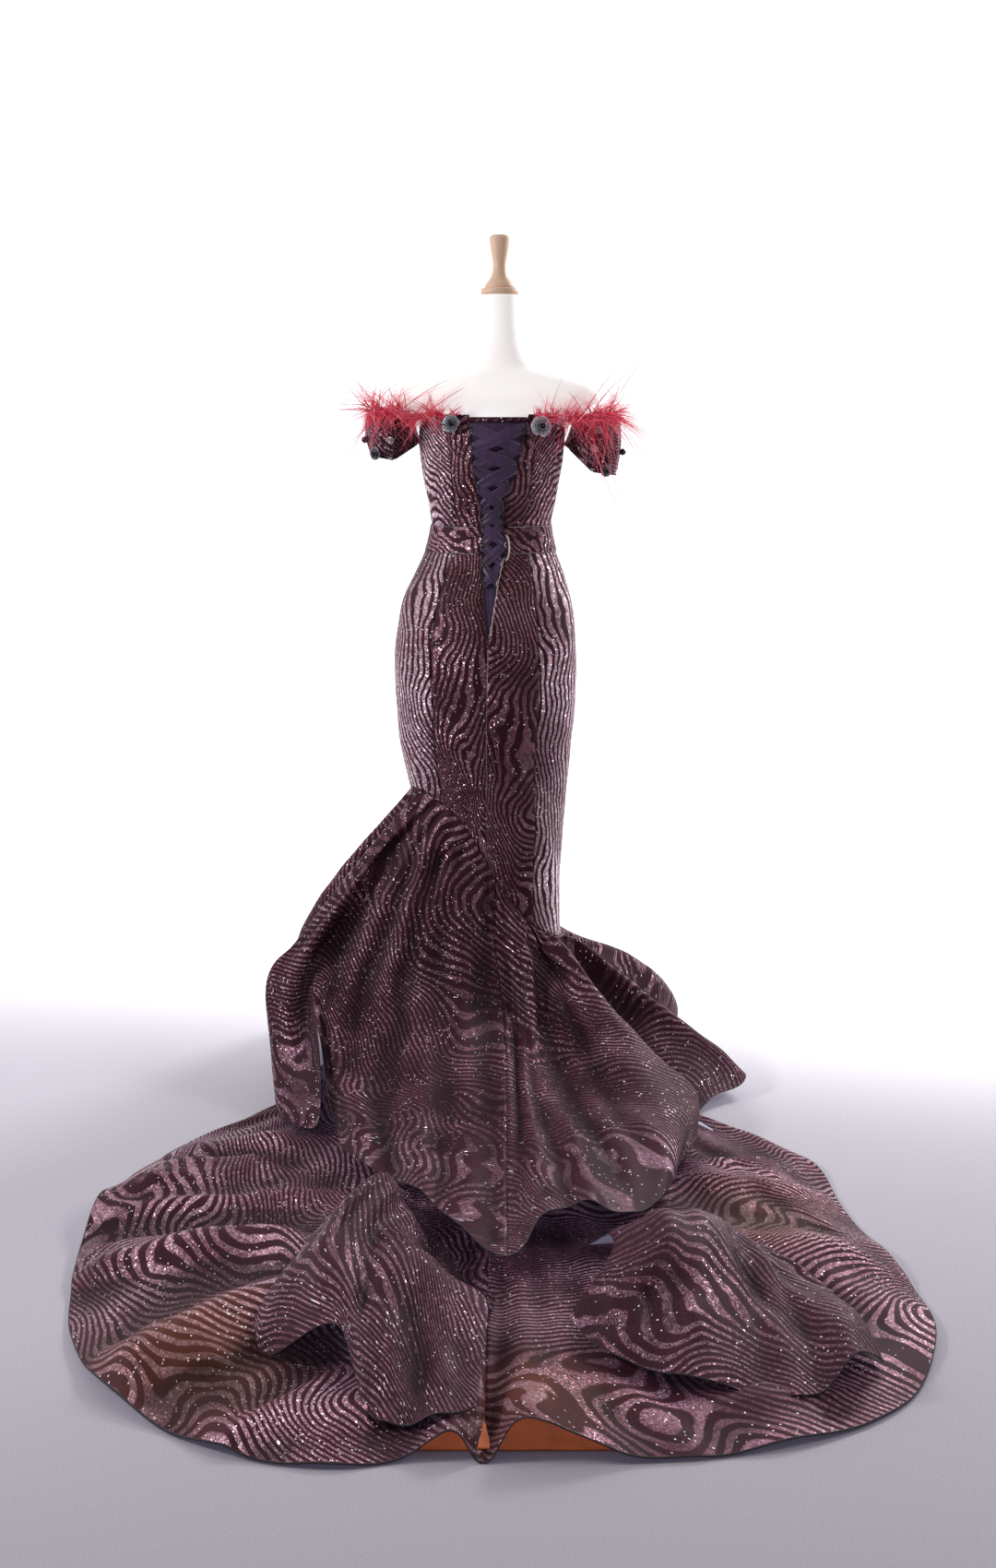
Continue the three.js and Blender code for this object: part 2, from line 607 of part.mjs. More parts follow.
addSolid("form_base", turnedRings([
  [BASE_RADIUS - 20, BASE_HEIGHT],
  [BASE_RADIUS - 3, BASE_HEIGHT * 0.5],
  [BASE_RADIUS, BASE_HEIGHT * 0.2],
  [BASE_RADIUS, 0],
], 24), COLORS.pole, 0.4, 0.6);
addSolid("form_pole", turnedRings([
  [POLE_RADIUS, FORM_FOOT - SEAM],
  [POLE_RADIUS, BASE_HEIGHT + SEAM],
], 12), COLORS.pole, 0.35, 0.7);

const FORM_COLUMNS = 20;
const formRings = [];
for (const row of FORM) {
  const ring = [];
  for (let j = 0; j < FORM_COLUMNS; j += 1) ring.push(sectionPoint(row, (360 * j) / FORM_COLUMNS));
  formRings.push(ring);
}
for (const z of [1277, 1241, 1194, 1148, 1098, 1054, 998, 940, 873, 826, FORM_FOOT]) {
  const inset = FORM_CLEARANCE + WALL + (z < 850 ? 12 : 0) + (z < 820 ? 14 : 0);
  const ring = [];
  for (let j = 0; j < FORM_COLUMNS; j += 1) ring.push(bodyPoint((360 * j) / FORM_COLUMNS, z, -inset));
  formRings.push(ring);
}
addSolid("form_body", formRings, COLORS.form, 0.85);
addSolid("form_neck_cap", turnedRings([
  [33, CAP_TOP - SEAM],
  [37, CAP_TOP - 4],
  [37, NECK_TOP + SEAM],
], 20, -3), COLORS.wood, 0.5);
addSolid("form_finial", turnedRings([
  [15, FINIAL_TOP],
  [20, FINIAL_TOP - 8],
  [17, FINIAL_TOP - 30],
  [13, FINIAL_TOP - 56],
  [17, FINIAL_TOP - 78],
  [28, FINIAL_TOP - 94],
  [28, CAP_TOP],
], 16, -3), COLORS.wood, 0.45);

// Columns of the bodice and skirt between the seams, from the centre back round to it
const SHEATH_PANELS = [
  { name: "back_left", from: "left", to: SIDE_BACK, columns: 4 },
  { name: "side_left", from: SIDE_BACK, to: SIDE_FRONT, columns: 8 },
  { name: "front", from: SIDE_FRONT, to: 360 - SIDE_FRONT, columns: 10 },
  { name: "side_right", from: 360 - SIDE_FRONT, to: 360 - SIDE_BACK, columns: 8 },
  { name: "back_right", from: 360 - SIDE_BACK, to: "right", columns: 4 },
];

function openingEdge(side, z) {
  return read(OPENING, "z", z < OPENING_FOOT ? "left" : side, z);
}

function seamAngle(edge, z) {
  if (edge === "left") return angleOfX(openingEdge("left", z), z);
  if (edge === "right") return 360 + angleOfX(openingEdge("right", z), z);
  return edge;
}

// Sheath grid between an upper and a lower edge, both read by angle
function sheathGrid(upper, lower, rows) {
  const grid = [];
  for (let i = 0; i <= rows; i += 1) {
    const line = [];
    SHEATH_PANELS.forEach((panel, p) => {
      for (let j = p ? 1 : 0; j <= panel.columns; j += 1) {
        const t = j / panel.columns;
        let angle = seamAngle(panel.from, 900) * (1 - t) + seamAngle(panel.to, 900) * t;
        let z = upper(angle) + (lower(angle) - upper(angle)) * (i / rows);
        angle = seamAngle(panel.from, z) * (1 - t) + seamAngle(panel.to, z) * t;
        z = upper(angle) + (lower(angle) - upper(angle)) * (i / rows);
        line.push(bodyPoint(angle, z));
      }
    });
    grid.push(line);
  }
  return grid;
}

// One shared direction where the first and last columns meet in a seam
function joinNormals(grid, normals) {
  grid.forEach((line, i) => {
    const last = line.length - 1;
    if (line[0].distanceTo(line[last]) > 1) return;
    const shared = normals[i][0].clone().add(normals[i][last]).normalize();
    normals[i][0] = shared;
    normals[i][last] = shared.clone();
  });
}

function addSheath(prefix, grid) {
  const normals = normalsOf(grid);
  joinNormals(grid, normals);
  let first = 0;
  for (const panel of SHEATH_PANELS) {
    const last = first + panel.columns;
    addWall(`${prefix}_${panel.name}`, grid, normals, first, last, WALL, COLORS.sequin);
    first = last;
  }
}

addSheath("bodice", sheathGrid(necklineHeight, () => WAIST_TOP + SEAM / 2, 6));
const skirtGrid = sheathGrid(() => WAIST_FOOT - SEAM / 2, (angle) => kneeHeight(angle) + SEAM / 2, 12);
addSheath("skirt", skirtGrid);

// Waistband: its back pieces run to the sides, one front piece between them
const bandGrid = sheathGrid(() => WAIST_TOP - SEAM / 2, () => WAIST_FOOT + SEAM / 2, 2);
const bandNormals = normalsOf(bandGrid);
bandGrid.forEach((line, i) => line.forEach((p, j) => p.addScaledVector(bandNormals[i][j], 1)));
addWall("waistband_left", bandGrid, bandNormals, 0, 12, WALL + 1, COLORS.sequin);
addWall("waistband_front", bandGrid, bandNormals, 12, 22, WALL + 1, COLORS.sequin);
addWall("waistband_right", bandGrid, bandNormals, 22, 34, WALL + 1, COLORS.sequin);

// Modesty panel behind the lacing, under the edges of the opening
const PANEL_UNDER = 14;
const PANEL_HEIGHTS = [1359, 1314, 1277, 1241, 1194, 1160, 1134, 1110, 1085, 1054, 1025, 990, 955, 909];
const modestyGrid = [];
for (const z of PANEL_HEIGHTS) {
  const row = bodyRow(z);
  const right = read(OPENING, "z", "right", z) - PANEL_UNDER;
  const left = read(OPENING, "z", "left", z) + PANEL_UNDER;
  const line = [];
  for (let j = 0; j <= 4; j += 1) {
    const x = right + (left - right) * (j / 4);
    const angle = Math.asin((x - row.shift) / row.half) / RAD;
    line.push(bodyPoint(angle, z, -(WALL + 1.4)));
  }
  modestyGrid.push(line);
}
addWall("modesty_panel", modestyGrid, normalsOf(modestyGrid), 0, 4, THIN_WALL, COLORS.purple, 0.4);

// Lacing: one ribbon that crosses the opening from side to side down its length
function ribbonTurn(i, startsLeft) {
  const z = LACING_TOP + (LACING_FOOT - LACING_TOP) * (i / LACING_CROSSINGS);
  const left = (i % 2 === 0) === startsLeft;
  const x = openingEdge(left ? "left" : "right", z) + (left ? 4 : -4);
  return { x, z };
}

function surfaceAt(x, z, out) {
  return bodyPoint(angleOfX(x, z), z, out);
}

let ribbon = null;
for (let crossing = 0; crossing < 2 * LACING_CROSSINGS; crossing += 1) {
  const i = Math.floor(crossing / 2);
  const a = ribbonTurn(i, crossing % 2 === 0);
  const b = ribbonTurn(i + 1, crossing % 2 === 0);
  const grid = [];
  const steps = Math.abs(a.x - b.x) > 58 ? 2 : 1;
  for (const side of [1, -1]) {
    const line = [];
    for (let k = 0; k <= steps; k += 1) {
      const t = k / steps;
      const x = a.x + (b.x - a.x) * t;
      const z = a.z + (b.z - a.z) * t + side * RIBBON_HALF;
      line.push(surfaceAt(x, z, 1.7 + SEAM + RIBBON_THICK));
    }
    grid.push(a.x < b.x ? line : line.reverse());
  }
  const piece = wallSolid(grid, RIBBON_THICK);
  ribbon = ribbon ? ribbon.add(piece) : piece;
}
addManifold("lacing", ribbon, COLORS.purple, 0.35);

function wallSolid(grid, thickness) {
  const { positions, faces } = wallData(grid, normalsOf(grid), 0, grid[0].length - 1, thickness);
  return toManifold(positions, faces);
}

function toManifold(positions, faces) {
  return new wasm.Manifold(new wasm.Mesh({
    numProp: 3,
    vertProperties: new Float32Array(positions.flat()),
    triVerts: new Uint32Array(faces.flat()),
  }));
}

function addManifold(name, body, color, roughness, metalness = 0) {
  const out = body.getMesh();
  const positions = [];
  for (let i = 0; i < out.numVert; i += 1) {
    const at = i * out.numProp;
    positions.push([out.vertProperties[at], out.vertProperties[at + 1], out.vertProperties[at + 2]]);
  }
  const faces = [];
  for (let i = 0; i < out.triVerts.length; i += 3) {
    faces.push([out.triVerts[i], out.triVerts[i + 1], out.triVerts[i + 2]]);
  }
  return addMesh(name, positions, faces, color, roughness, metalness);
}

function solidOf(name) {
  const { geometry } = group.getObjectByName(name);
  return new wasm.Manifold(new wasm.Mesh({
    numProp: 3,
    vertProperties: new Float32Array(geometry.attributes.position.array),
    triVerts: new Uint32Array(geometry.index.array),
  }));
}

// Distance a body can go along a direction until it almost touches one of its neighbours
function travelTo(body, direction, neighbours) {
  const others = neighbours.map(solidOf);
  let distance = 0;
  for (let i = 0; i < 60; i += 1) {
    const moved = body.translate(...direction.clone().multiplyScalar(distance).toArray());
    const gap = Math.min(...others.map((other) => moved.minGap(other, 80)));
    if (gap < SEAM) break;
    distance += gap - SEAM + 0.02;
  }
  return distance;
}

function seatNode(name, direction, neighbours) {
  const way = direction.clone().normalize();
  const shift = way.clone().multiplyScalar(travelTo(solidOf(name), way, neighbours));
  group.getObjectByName(name).geometry.translate(shift.x, shift.y, shift.z);
}

// Upper flounce, sewn to the knee seam
const vector = (p) => new THREE.Vector3(...p);
const flounceRows = FLOUNCE.map((row) => [
  bodyPoint(row.at, kneeHeight(row.at) - SEAM / 2),
  vector(row.high),
  vector(row.mid),
  vector(row.low),
  vector(row.sweep),
  vector(row.hem),
]);
const flounceGrid = clothFrom(flounceRows, [2, 2, 3, 2, 2], 2, true);
const skirtEdge = skirtGrid[skirtGrid.length - 1];
const skirtAbove = skirtGrid[skirtGrid.length - 2];
const skirtEdgeNormals = normalsOf(skirtGrid)[skirtGrid.length - 1];

// Point at the skirt's lower edge, on the straight line between its corners
function skirtEdgePoint(angle, up = 0, out = 0) {
  const angleOf = (p) => {
    const row = bodyRow(p.z);
    const turned = Math.atan2((p.x - row.shift) / row.half, p.y / (p.y > 0 ? row.back : row.front)) / RAD;
    return turned < 0 ? turned + 360 : turned;
  };
  const angles = skirtEdge.map(angleOf);
  angles[skirtEdge.length - 1] = angles[0] + 360;
  const target = angle < angles[0] ? angle + 360 : angle;
  let j = 0;
  while (j < angles.length - 2 && angles[j + 1] < target) j += 1;
  const t = (target - angles[j]) / (angles[j + 1] - angles[j]);
  const point = skirtEdge[j].clone().lerp(skirtEdge[j + 1], t);
  const above = skirtAbove[j].clone().lerp(skirtAbove[j + 1], t);
  point.addScaledVector(above.sub(point).normalize(), up);
  const outward = skirtEdgeNormals[j].clone().lerp(skirtEdgeNormals[j + 1], t);
  return point.addScaledVector(outward, out);
}

flounceGrid[0].forEach((p, j) => {
  const row = Math.floor(j / 2);
  const next = row + 1 < FLOUNCE.length ? FLOUNCE[row + 1].at : 360;
  const angle = FLOUNCE[row].at + ((next - FLOUNCE[row].at) * (j % 2)) / 2;
  p.copy(skirtEdgePoint(angle));
  p.z -= SEAM + 1.2;
});
const flounceNormals = normalsOf(flounceGrid, true);
const FLOUNCE_PIECES = [
  { name: "flounce_left", first: 0, last: 24 },
  { name: "flounce_front", first: 24, last: 32 },
  { name: "flounce_right", first: 32, last: flounceGrid[0].length },
];
for (const piece of FLOUNCE_PIECES) {
  addWall(piece.name, flounceGrid, flounceNormals, piece.first, piece.last, WALL, COLORS.sequin);
}

// Train, gathered under the knee seam and laid out on the floor
const TRAIN_TUCK = 8;
const TRAIN_INSET = 3;
const TUBE_STEPS = [0, 1, 12, 38];
const TRAIN_STEPS = [0.12, 0.35, 0.6, 0.82, 1];

function ridgeLift(x, y) {
  let lift = 0;
  for (const ridge of TRAIN_RIDGES) {
    const [ax, ay] = ridge.from;
    const [bx, by] = ridge.to;
    const length = (bx - ax) ** 2 + (by - ay) ** 2;
    const t = Math.min(Math.max(((x - ax) * (bx - ax) + (y - ay) * (by - ay)) / length, 0), 1);
    const away = Math.hypot(x - ax - t * (bx - ax), y - ay - t * (by - ay)) / ridge.width;
    lift += ridge.lift * Math.exp(-away * away);
  }
  return lift;
}

const trainRows = TRAIN.map((row) => {
  const top = skirtEdgePoint(row.at < 0 ? row.at + 360 : row.at, TRAIN_TUCK, -(WALL + TRAIN_INSET));
  const reach = Math.hypot(row.x - top.x, row.y - top.y);
  const tube = TUBE_STEPS[TUBE_STEPS.length - 1];
  const steps = [...TUBE_STEPS, ...TRAIN_STEPS.map((f) => tube + f * (reach - tube))];
  const heights = [1, 0.7, 0.42, 0.2].map((f) => f * top.z);
  heights.push(row.foot, row.inner, row.inner, row.outer, row.hem);
  return steps.map((d, k) => new THREE.Vector3(
    top.x + ((row.x - top.x) * d) / reach,
    top.y + ((row.y - top.y) * d) / reach,
    heights[k],
  ));
});
const trainGrid = clothFrom(trainRows, [1, 1, 1, 1, 1, 2, 2, 2], 2);
trainGrid.forEach((line, i) => {
  if (i < 5) return;
  line.forEach((p) => {
    p.z = Math.max(p.z, 3 + WALL) + ridgeLift(p.x, p.y);
  });
});
const trainNormals = normalsOf(trainGrid);
const trainMiddle = TRAIN.findIndex((row) => row.at === 0) * 2;
addWall("train_right", trainGrid, trainNormals, 0, trainMiddle, WALL, COLORS.sequin);
addWall("train_left", trainGrid, trainNormals, trainMiddle, trainGrid[0].length - 1, WALL, COLORS.sequin);

// Middle ruffles
const ruffleOrder = ["seam", "rise", "mid", "low", "hem"];
for (const [name, rows] of [["ruffle_right", RUFFLE_RIGHT], ["ruffle_left", RUFFLE_LEFT]]) {
  const points = rows.map((row) => ruffleOrder.map((key) => vector(row[key])));
  const grid = clothFrom(points, 2, 2);
  addWall(name, grid, normalsOf(grid), 0, grid[0].length - 1, WALL, COLORS.sequin);
  const below = ["train_left", "train_right", "flounce_left", "flounce_right"];
  seatNode(name, new THREE.Vector3(0, 0, -1), below);
}

// Copper facing that shows under the back hem
const facingGrid = [];
for (let i = 0; i <= 3; i += 1) {
  const line = [];
  for (let j = 0; j <= 6; j += 1) {
    const x = -235 + 390 * (j / 6);
    line.push(new THREE.Vector3(x, 1300 + 124 * (i / 3), 3));
  }
  facingGrid.push(line);
}
addWall("train_facing", facingGrid, normalsOf(facingGrid), 0, 6, THIN_WALL, COLORS.copper, 0.4);
seatNode("train_facing", new THREE.Vector3(0, 0, 1), ["train_left", "train_right"]);

// Sleeve bands
for (const [side, s] of Object.entries(SLEEVES)) {
  const outward = Math.sign(s.x);
  const rings = [];
  const puff = [0, 5, 7, 5, 1];
  for (let i = 0; i <= 4; i += 1) {
    const down = i / 4;
    const ring = [];
    for (let j = 0; j < 16; j += 1) {
      const angle = (360 * j) / 16;
      const across = Math.sin(angle * RAD);
      const aside = across * outward;
      const wave = puff[i] * (1 + 0.18 * Math.sin(5 * angle * RAD));
      const x = (s.halfAcross + wave - i * 1.2) * across;
      const y = (s.halfDeep + wave - i * 2) * Math.cos(angle * RAD);
      const inner = Math.max(-aside - DIP_START, 0) / (1 - DIP_START);
      const top = s.top + s.topSlope * aside - s.topDip * inner ** 1.3;
      const cuff = s.cuff + s.cuffSlope * aside + s.cuffRise * Math.max(-aside, 0);
      ring.push(new THREE.Vector3(s.x + x, y, top + (cuff - top) * down));
    }
    rings.push(ring);
  }
  addRingWall(`sleeve_${side}`, rings, normalsOf(rings, true), WALL, COLORS.sequin);
  seatNode(`sleeve_${side}`, new THREE.Vector3(-outward, 0, 0), [`bodice_side_${side}`, "form_body"]);
}

// Feather trim: a narrow strip with thin curved locks fused at their roots
function randomFrom(seed) {
  let state = seed;
  return () => {
    state = (state * 16807) % 2147483647;
    return state / 2147483647;
  };
}

function stripSolid(points) {
  const grid = [];
  for (const side of [0.5, -0.5]) {
    grid.push(points.map((p) => p.clone().add(new THREE.Vector3(0, 0, side * STRIP_HEIGHT))));
  }
  const facesBack = points[points.length - 1].x > points[0].x;
  if (!facesBack) grid.forEach((line) => line.reverse());
  return wallSolid(grid, STRIP_THICK);
}

function lockSolid(path, root) {
  const positions = [];
  const faces = [];
  const sides = 3;
  path.slice(0, -1).forEach((p, i) => {
    const forward = path[i + 1].clone().sub(p).normalize();
    const across = new THREE.Vector3(0.31, 0.9, 0.3).cross(forward).normalize();
    const up = forward.clone().cross(across);
    const size = root * (1 - 0.45 * i);
    for (let k = 0; k < sides; k += 1) {
      const angle = (2 * Math.PI * k) / sides;
      const q = p.clone().addScaledVector(across, size * Math.cos(angle));
      q.addScaledVector(up, size * Math.sin(angle));
      positions.push(q.x, q.y, q.z);
    }
  });
  const rings = path.length - 1;
  const tip = path[path.length - 1];
  positions.push(tip.x, tip.y, tip.z);
  for (let i = 0; i < rings - 1; i += 1) {
    for (let k = 0; k < sides; k += 1) {
      const m = (k + 1) % sides;
      const [a, b, c, d] = [i * sides + k, i * sides + m, (i + 1) * sides + m, (i + 1) * sides + k];
      faces.push(a, b, c, a, c, d);
    }
  }
  for (let k = 0; k < sides; k += 1) {
    const m = (k + 1) % sides;
    faces.push((rings - 1) * sides + k, (rings - 1) * sides + m, rings * sides);
  }
  faces.push(0, 2, 1);
  return toManifold(positions, faces);
}

function closestPass(one, other) {
  let best = Infinity;
  for (let i = 1; i <= 8; i += 1) {
    for (let j = 1; j <= 8; j += 1) best = Math.min(best, one[i].distanceTo(other[j]));
  }
  return best;
}

for (const [side, trim] of Object.entries(FEATHERS)) {
  const outward = side === "left" ? 1 : -1;
  const random = randomFrom(trim.seed);
  const line = curveThrough(trim.line.map(vector), 3);
  let body = stripSolid(line);
  const laid = [];
  for (let i = 0; i < trim.stations; i += 1) {
    const t = (i + 0.5) / trim.stations;
    const span = Math.floor(t * (line.length - 1));
    const p = line[span].clone().lerp(line[span + 1], t * (line.length - 1) - span);
    p.y -= 0.8;
    for (const lock of LOCKS[side]) {
      for (let attempt = 0; attempt < 6; attempt += 1) {
        const spread = random() - 0.5;
        const lean = lock.lean + lock.turn * t + spread * 50;
        const length = (lock.length + lock.growth * t) * (0.6 + 0.75 * random());
        const start = p.clone();
        start.z += lock.rise;
        const push = lock.rise === 0 ? 0.75 : 0.28 + 0.3 * random();
        const heading = new THREE.Vector3(outward * Math.sin(lean * RAD), push, Math.cos(lean * RAD));
        heading.normalize();
        const droop = lock.droop + 0.15 * (random() - 0.5);
        const middle = start.clone().addScaledVector(heading, length * 0.55);
        const end = start.clone().addScaledVector(heading, length);
        end.z += droop * length;
        end.x += outward * 0.12 * length;
        const fineLine = [];
        for (let k = 0; k <= 4; k += 1) fineLine.push(start.clone().lerp(middle, k / 4));
        for (let k = 1; k <= 4; k += 1) fineLine.push(middle.clone().lerp(end, k / 4));
        if (laid.some((other) => closestPass(other, fineLine) < 3.8)) continue;
        const near = (b) => {
          const centre = new THREE.Vector3(b.x, b.y, b.z);
          return fineLine.some((q) => q.distanceTo(centre) < b.radius + 5);
        };
        if ([...ROSES, ...FLOWERS, ...BEADS].some(near)) continue;
        laid.push(fineLine);
        body = body.add(lockSolid([start, middle, end], LOCK_ROOT));
        break;
      }
    }
  }
  addManifold(`feathers_${side}`, body, COLORS.feather, 0.85);
  const behind = new THREE.Vector3(0, -1, 0);
  seatNode(`feathers_${side}`, behind, [`bodice_back_${side}`, `bodice_side_${side}`, `sleeve_${side}`]);
}

// Roses: a round of petals in three turns about a raised middle
function addBloom(name, x, y, z, radius, turn, petals, rows, cols, color, metalness) {
  const facing = new THREE.Vector3(...turn).normalize();
  const across = new THREE.Vector3(0, 0, 1).cross(facing).normalize();
  const up = facing.clone().cross(across);
  const centre = new THREE.Vector3(x, y, z);
  const rings = [];
  for (let i = rows; i >= 0; i -= 1) {
    const f = i / rows;
    const ring = [];
    for (let j = 0; j < cols; j += 1) {
      const angle = (2 * Math.PI * j) / cols;
      const turnIn = angle * petals + 2.2 * i;
      const lobe = 1 + 0.1 * Math.cos(turnIn) * f;
      const r = radius * (0.1 + 0.9 * f) * lobe;
      const lift = radius * (0.42 * (1 - f * f) + (i % 2 ? 0.14 : 0) + 0.06 * Math.sin(turnIn));
      ring.push(centre.clone().addScaledVector(across, r * Math.cos(angle))
        .addScaledVector(up, -r * Math.sin(angle)).addScaledVector(facing, lift));
    }
    rings.push(ring);
  }
  const foot = rings[0].map((p) => {
    const height = p.clone().sub(centre).dot(facing);
    return p.clone().addScaledVector(facing, -radius * 0.22 - height);
  });
  addSolid(name, [foot, ...rings].reverse(), color, 0.4, metalness);
}

function supportsOf(x) {
  const side = x > 0 ? "left" : "right";
  return [`bodice_back_${side}`, `bodice_side_${side}`, `sleeve_${side}`, `feathers_${side}`, "lacing"];
}

for (const rose of ROSES) {
  addBloom(rose.name, rose.x, rose.y, rose.z, rose.radius, rose.turn, 4, 5, 12, COLORS.rose, 0.3);
  seatNode(rose.name, vector(rose.turn).negate(), supportsOf(rose.x));
}
for (const f of FLOWERS) {
  addBloom(f.name, f.x, f.y, f.z, f.radius, [0, 1, 0], 5, 1, 10, COLORS.silver, 0.7);
  seatNode(f.name, new THREE.Vector3(0, -1, 0), supportsOf(f.x));
}
for (const b of BEADS) {
  const rings = [];
  for (const tilt of [20, 55, 90, 125, 160]) {
    const size = b.radius * Math.sin(tilt * RAD);
    const height = b.z + b.radius * Math.cos(tilt * RAD);
    rings.push(...turnedRings([[size, height]], 8, b.x, b.y));
  }
  addSolid(b.name, rings, COLORS.black, 0.25);
  seatNode(b.name, new THREE.Vector3(-Math.sign(b.x), -0.4, 0), supportsOf(b.x));
}

export default group;
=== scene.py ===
# Looks of a prom dress on its dress form: cloth, sequins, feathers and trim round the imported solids
# Tables are in millimetres, +Z up, the back of the dress facing +Y; meshes are in metres

import math

import bpy
import numpy as np
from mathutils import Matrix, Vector


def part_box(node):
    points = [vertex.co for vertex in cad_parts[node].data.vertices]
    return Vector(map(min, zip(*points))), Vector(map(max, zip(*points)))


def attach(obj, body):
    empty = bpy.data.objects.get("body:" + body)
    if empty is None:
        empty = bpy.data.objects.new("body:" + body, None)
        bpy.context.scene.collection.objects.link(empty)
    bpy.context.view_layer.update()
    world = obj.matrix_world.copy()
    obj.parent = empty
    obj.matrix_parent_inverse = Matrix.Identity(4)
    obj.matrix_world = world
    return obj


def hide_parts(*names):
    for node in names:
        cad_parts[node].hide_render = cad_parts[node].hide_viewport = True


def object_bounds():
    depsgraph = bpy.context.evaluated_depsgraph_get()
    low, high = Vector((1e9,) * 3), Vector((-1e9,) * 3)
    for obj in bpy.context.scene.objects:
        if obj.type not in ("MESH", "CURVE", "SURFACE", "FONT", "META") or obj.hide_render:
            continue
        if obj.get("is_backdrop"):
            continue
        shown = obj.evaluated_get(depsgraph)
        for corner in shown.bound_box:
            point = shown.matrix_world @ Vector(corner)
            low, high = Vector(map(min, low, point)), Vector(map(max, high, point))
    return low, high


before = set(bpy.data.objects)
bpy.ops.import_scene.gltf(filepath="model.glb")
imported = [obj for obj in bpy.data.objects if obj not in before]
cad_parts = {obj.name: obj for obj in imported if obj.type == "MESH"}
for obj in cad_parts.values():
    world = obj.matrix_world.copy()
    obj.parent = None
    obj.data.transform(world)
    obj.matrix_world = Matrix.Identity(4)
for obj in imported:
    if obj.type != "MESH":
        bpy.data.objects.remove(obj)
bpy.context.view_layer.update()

# Body of the dress: height, half width, depth behind, depth in front, sideways shift
# columns: z, half, back, front, shift
BODY = [
    (1385, 166, 88, 100, 11),
    (1345, 160, 95, 112, 12),
    (1314, 147, 98, 122, 12),
    (1277, 143, 96, 126, 12),
    (1241, 138, 92, 118, 13),
    (1194, 129, 86, 100, 13),
    (1148, 123, 82, 90, 14),
    (1098, 134, 90, 92, 15),
    (1054, 152, 104, 96, 18),
    (998, 173, 122, 104, 23),
    (940, 183, 131, 110, 25),
    (873, 189, 132, 114, 26),
    (786, 187, 124, 116, 25),
    (708, 180, 116, 114, 26),
    (609, 166, 108, 110, 20),
    (508, 146, 104, 106, 8),
    (407, 135, 104, 104, 4),
    (304, 136, 108, 106, 2),
    (240, 140, 112, 108, 0),
]

# Dress form above the bust line, with the squareness of each section
# columns: z, half, back, front, shift, square
FORM = [
    (1600, 39, 39, 39, -3, 2),
    (1560, 40, 40, 40, -3, 2),
    (1500, 50, 45, 45, -2, 2),
    (1462, 76, 47, 47, 0, 2),
    (1450, 118, 49, 49, 0, 2.2),
    (1436, 168, 52, 51, 1, 2.3),
    (1422, 196, 56, 54, 2, 2.3),
    (1404, 203, 62, 62, 3, 2.2),
    (1380, 186, 68, 74, 5, 2.1),
    (1350, 154, 80, 94, 8, 2),
    (1314, 140, 91, 112, 11, 2),
]

# Top edge of the bodice by angle from the centre back
# columns: at, z
NECKLINE = [
    (0, 1368),
    (40, 1369),
    (55, 1361),
    (68, 1338),
    (82, 1314),
    (100, 1310),
    (116, 1328),
    (140, 1352),
    (160, 1356),
    (180, 1342),
]

# Slanted knee seam by angle from the centre back
# columns: at, z
KNEE = [
    (-180, 430),
    (-130, 330),
    (-90, 280),
    (-35, 325),
    (0, 430),
    (35, 585),
    (90, 600),
    (130, 520),
    (180, 430),
]

# Edges of the laced opening, meeting in the centre back seam
# columns: z, left, right
OPENING = [
    (1385, 56, -64),
    (1364, 56, -59),
    (1294, 51, -42),
    (1245, 45, -29),
    (1207, 37.5, -13),
    (1153, 33, -9),
    (1110, 32, -16),
    (1072, 31, -7),
    (1040, 30, 0),
    (1003, 29, 6),
    (938, 23, 17),
    (921, 20, 20),
    (760, 23, 23),
    (534, 24, 24),
    (430, 19, 19),
    (337, 13, 13),
    (240, 4, 4),
]

